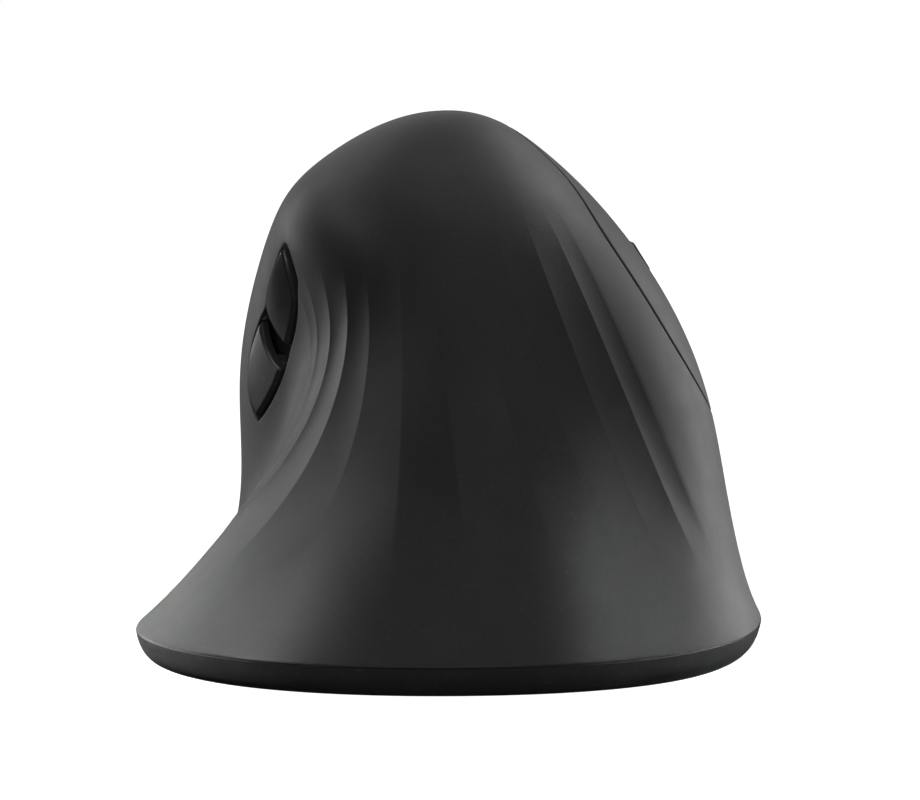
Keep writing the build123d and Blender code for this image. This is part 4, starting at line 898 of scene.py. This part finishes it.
# Floor and lights: places and sizes in metres, powers in watts, spread in degrees
floor_half = 4.0
floor_glow = 1.08
box_size = (0.5, 0.5)
box_rows = (
    ("left_high", (-0.71, 0, 0.74), 0.9),
    ("left_rear_high", (-0.5, 0.5, 0.74), 0.65),
    ("left_rear", (-0.7, 0.7, 0.2), 1.25),
    ("right_rear_high", (0.5, 0.5, 0.74), 1.9),
    ("right_rear", (0.7, 0.7, 0.2), 1.5),
    ("right_low", (0.98, 0, 0.2), 0.3),
    ("front_right", (0.64, -0.64, 0.45), 0.5),
    ("overhead", (0, 0, 1.03), 0.5),
    ("front_high", (0, -0.71, 0.74), 0.5),
)
strip_size = (0.9, 0.05)
strip_power = 1.1
wing_size = (0.04, 0.04)
wing_spread = 5
wing_rows = (
    ("left_wing", (-0.5, -0.2, 0.4), 0.025, (-0.056, -0.03, 0.007)),
    ("right_wing", (0.45, -0.3, 0.3), 0.009, (0.056, -0.04, 0.008)),
)
surround_seen = 1.0
surround_unseen = 0.01


def make_floor():
    """A pale floor that looks white. Its glow lights nothing, because diffuse and glossy rays miss it."""
    mesh = bpy.data.meshes.new("floor")
    corners = [(x * floor_half, y * floor_half, 0) for x, y in ((-1, -1), (1, -1), (1, 1), (-1, 1))]
    mesh.from_pydata(corners, [], [[0, 1, 2, 3]])
    nodes = Nodes("floor_paper")
    paper = nodes.noise(40, detail=3)
    nodes.colour(nodes.mix(nodes.span(paper, 0, 1), (0.28, 0.28, 0.28), (0.31, 0.31, 0.31)))
    nodes.set(Roughness=0.9, Specular_IOR_Level=0.1)
    nodes.set(Emission_Color=(1, 1, 1, 1), Emission_Strength=floor_glow)
    mesh.materials.append(nodes.material)
    floor = bpy.data.objects.new("floor", mesh)
    bpy.context.scene.collection.objects.link(floor)
    floor.visible_diffuse = False
    floor.visible_glossy = False


def add_light(name, place, size, power, target=(0, 0, body_height * MM / 2), spread=180):
    """A soft box that faces the target, with a grid that keeps its light within the spread in degrees."""
    data = bpy.data.lights.new(name, "AREA")
    data.shape = "RECTANGLE"
    data.size, data.size_y = size
    data.energy = power
    data.spread = radians(spread)
    light = bpy.data.objects.new(name, data)
    light.visible_camera = False
    light.location = place
    aim = Vector(target) - Vector(place)
    light.rotation_mode = "QUATERNION"
    light.rotation_quaternion = aim.to_track_quat("-Z", "Y")
    bpy.context.scene.collection.objects.link(light)


def make_light():
    """Soft boxes all round and above, a low strip and a narrow light on each wing.

    The surround looks white and gives almost no light.
    """
    for name, place, power in box_rows:
        add_light(name, place, box_size, power)
    add_light("front_low", (0, -0.9, 0.04), strip_size, strip_power)
    for name, place, power, target in wing_rows:
        add_light(name, place, wing_size, power, target, wing_spread)
    world = bpy.data.worlds.new("surround")
    bpy.context.scene.world = world
    world.use_nodes = True
    tree = world.node_tree
    seen = tree.nodes["Background"]
    seen.inputs["Color"].default_value = (1, 1, 1, 1)
    seen.inputs["Strength"].default_value = surround_seen
    unseen = tree.nodes.new("ShaderNodeBackground")
    unseen.inputs["Color"].default_value = (0.95, 0.97, 1, 1)
    unseen.inputs["Strength"].default_value = surround_unseen
    path = tree.nodes.new("ShaderNodeLightPath")
    mix = tree.nodes.new("ShaderNodeMixShader")
    tree.links.new(path.outputs["Is Camera Ray"], mix.inputs["Fac"])
    tree.links.new(unseen.outputs["Background"], mix.inputs[1])
    tree.links.new(seen.outputs["Background"], mix.inputs[2])
    tree.links.new(mix.outputs["Shader"], tree.nodes["World Output"].inputs["Surface"])
    bpy.context.scene.view_settings.view_transform = "Standard"


materials = make_materials()
dress_nodes(materials)
make_shell(materials["shell_plastic"])
make_finger_side(materials["panel_plastic"])
make_thumb_buttons(materials["thumb_plastic"])
make_floor()
make_light()
make_camera()
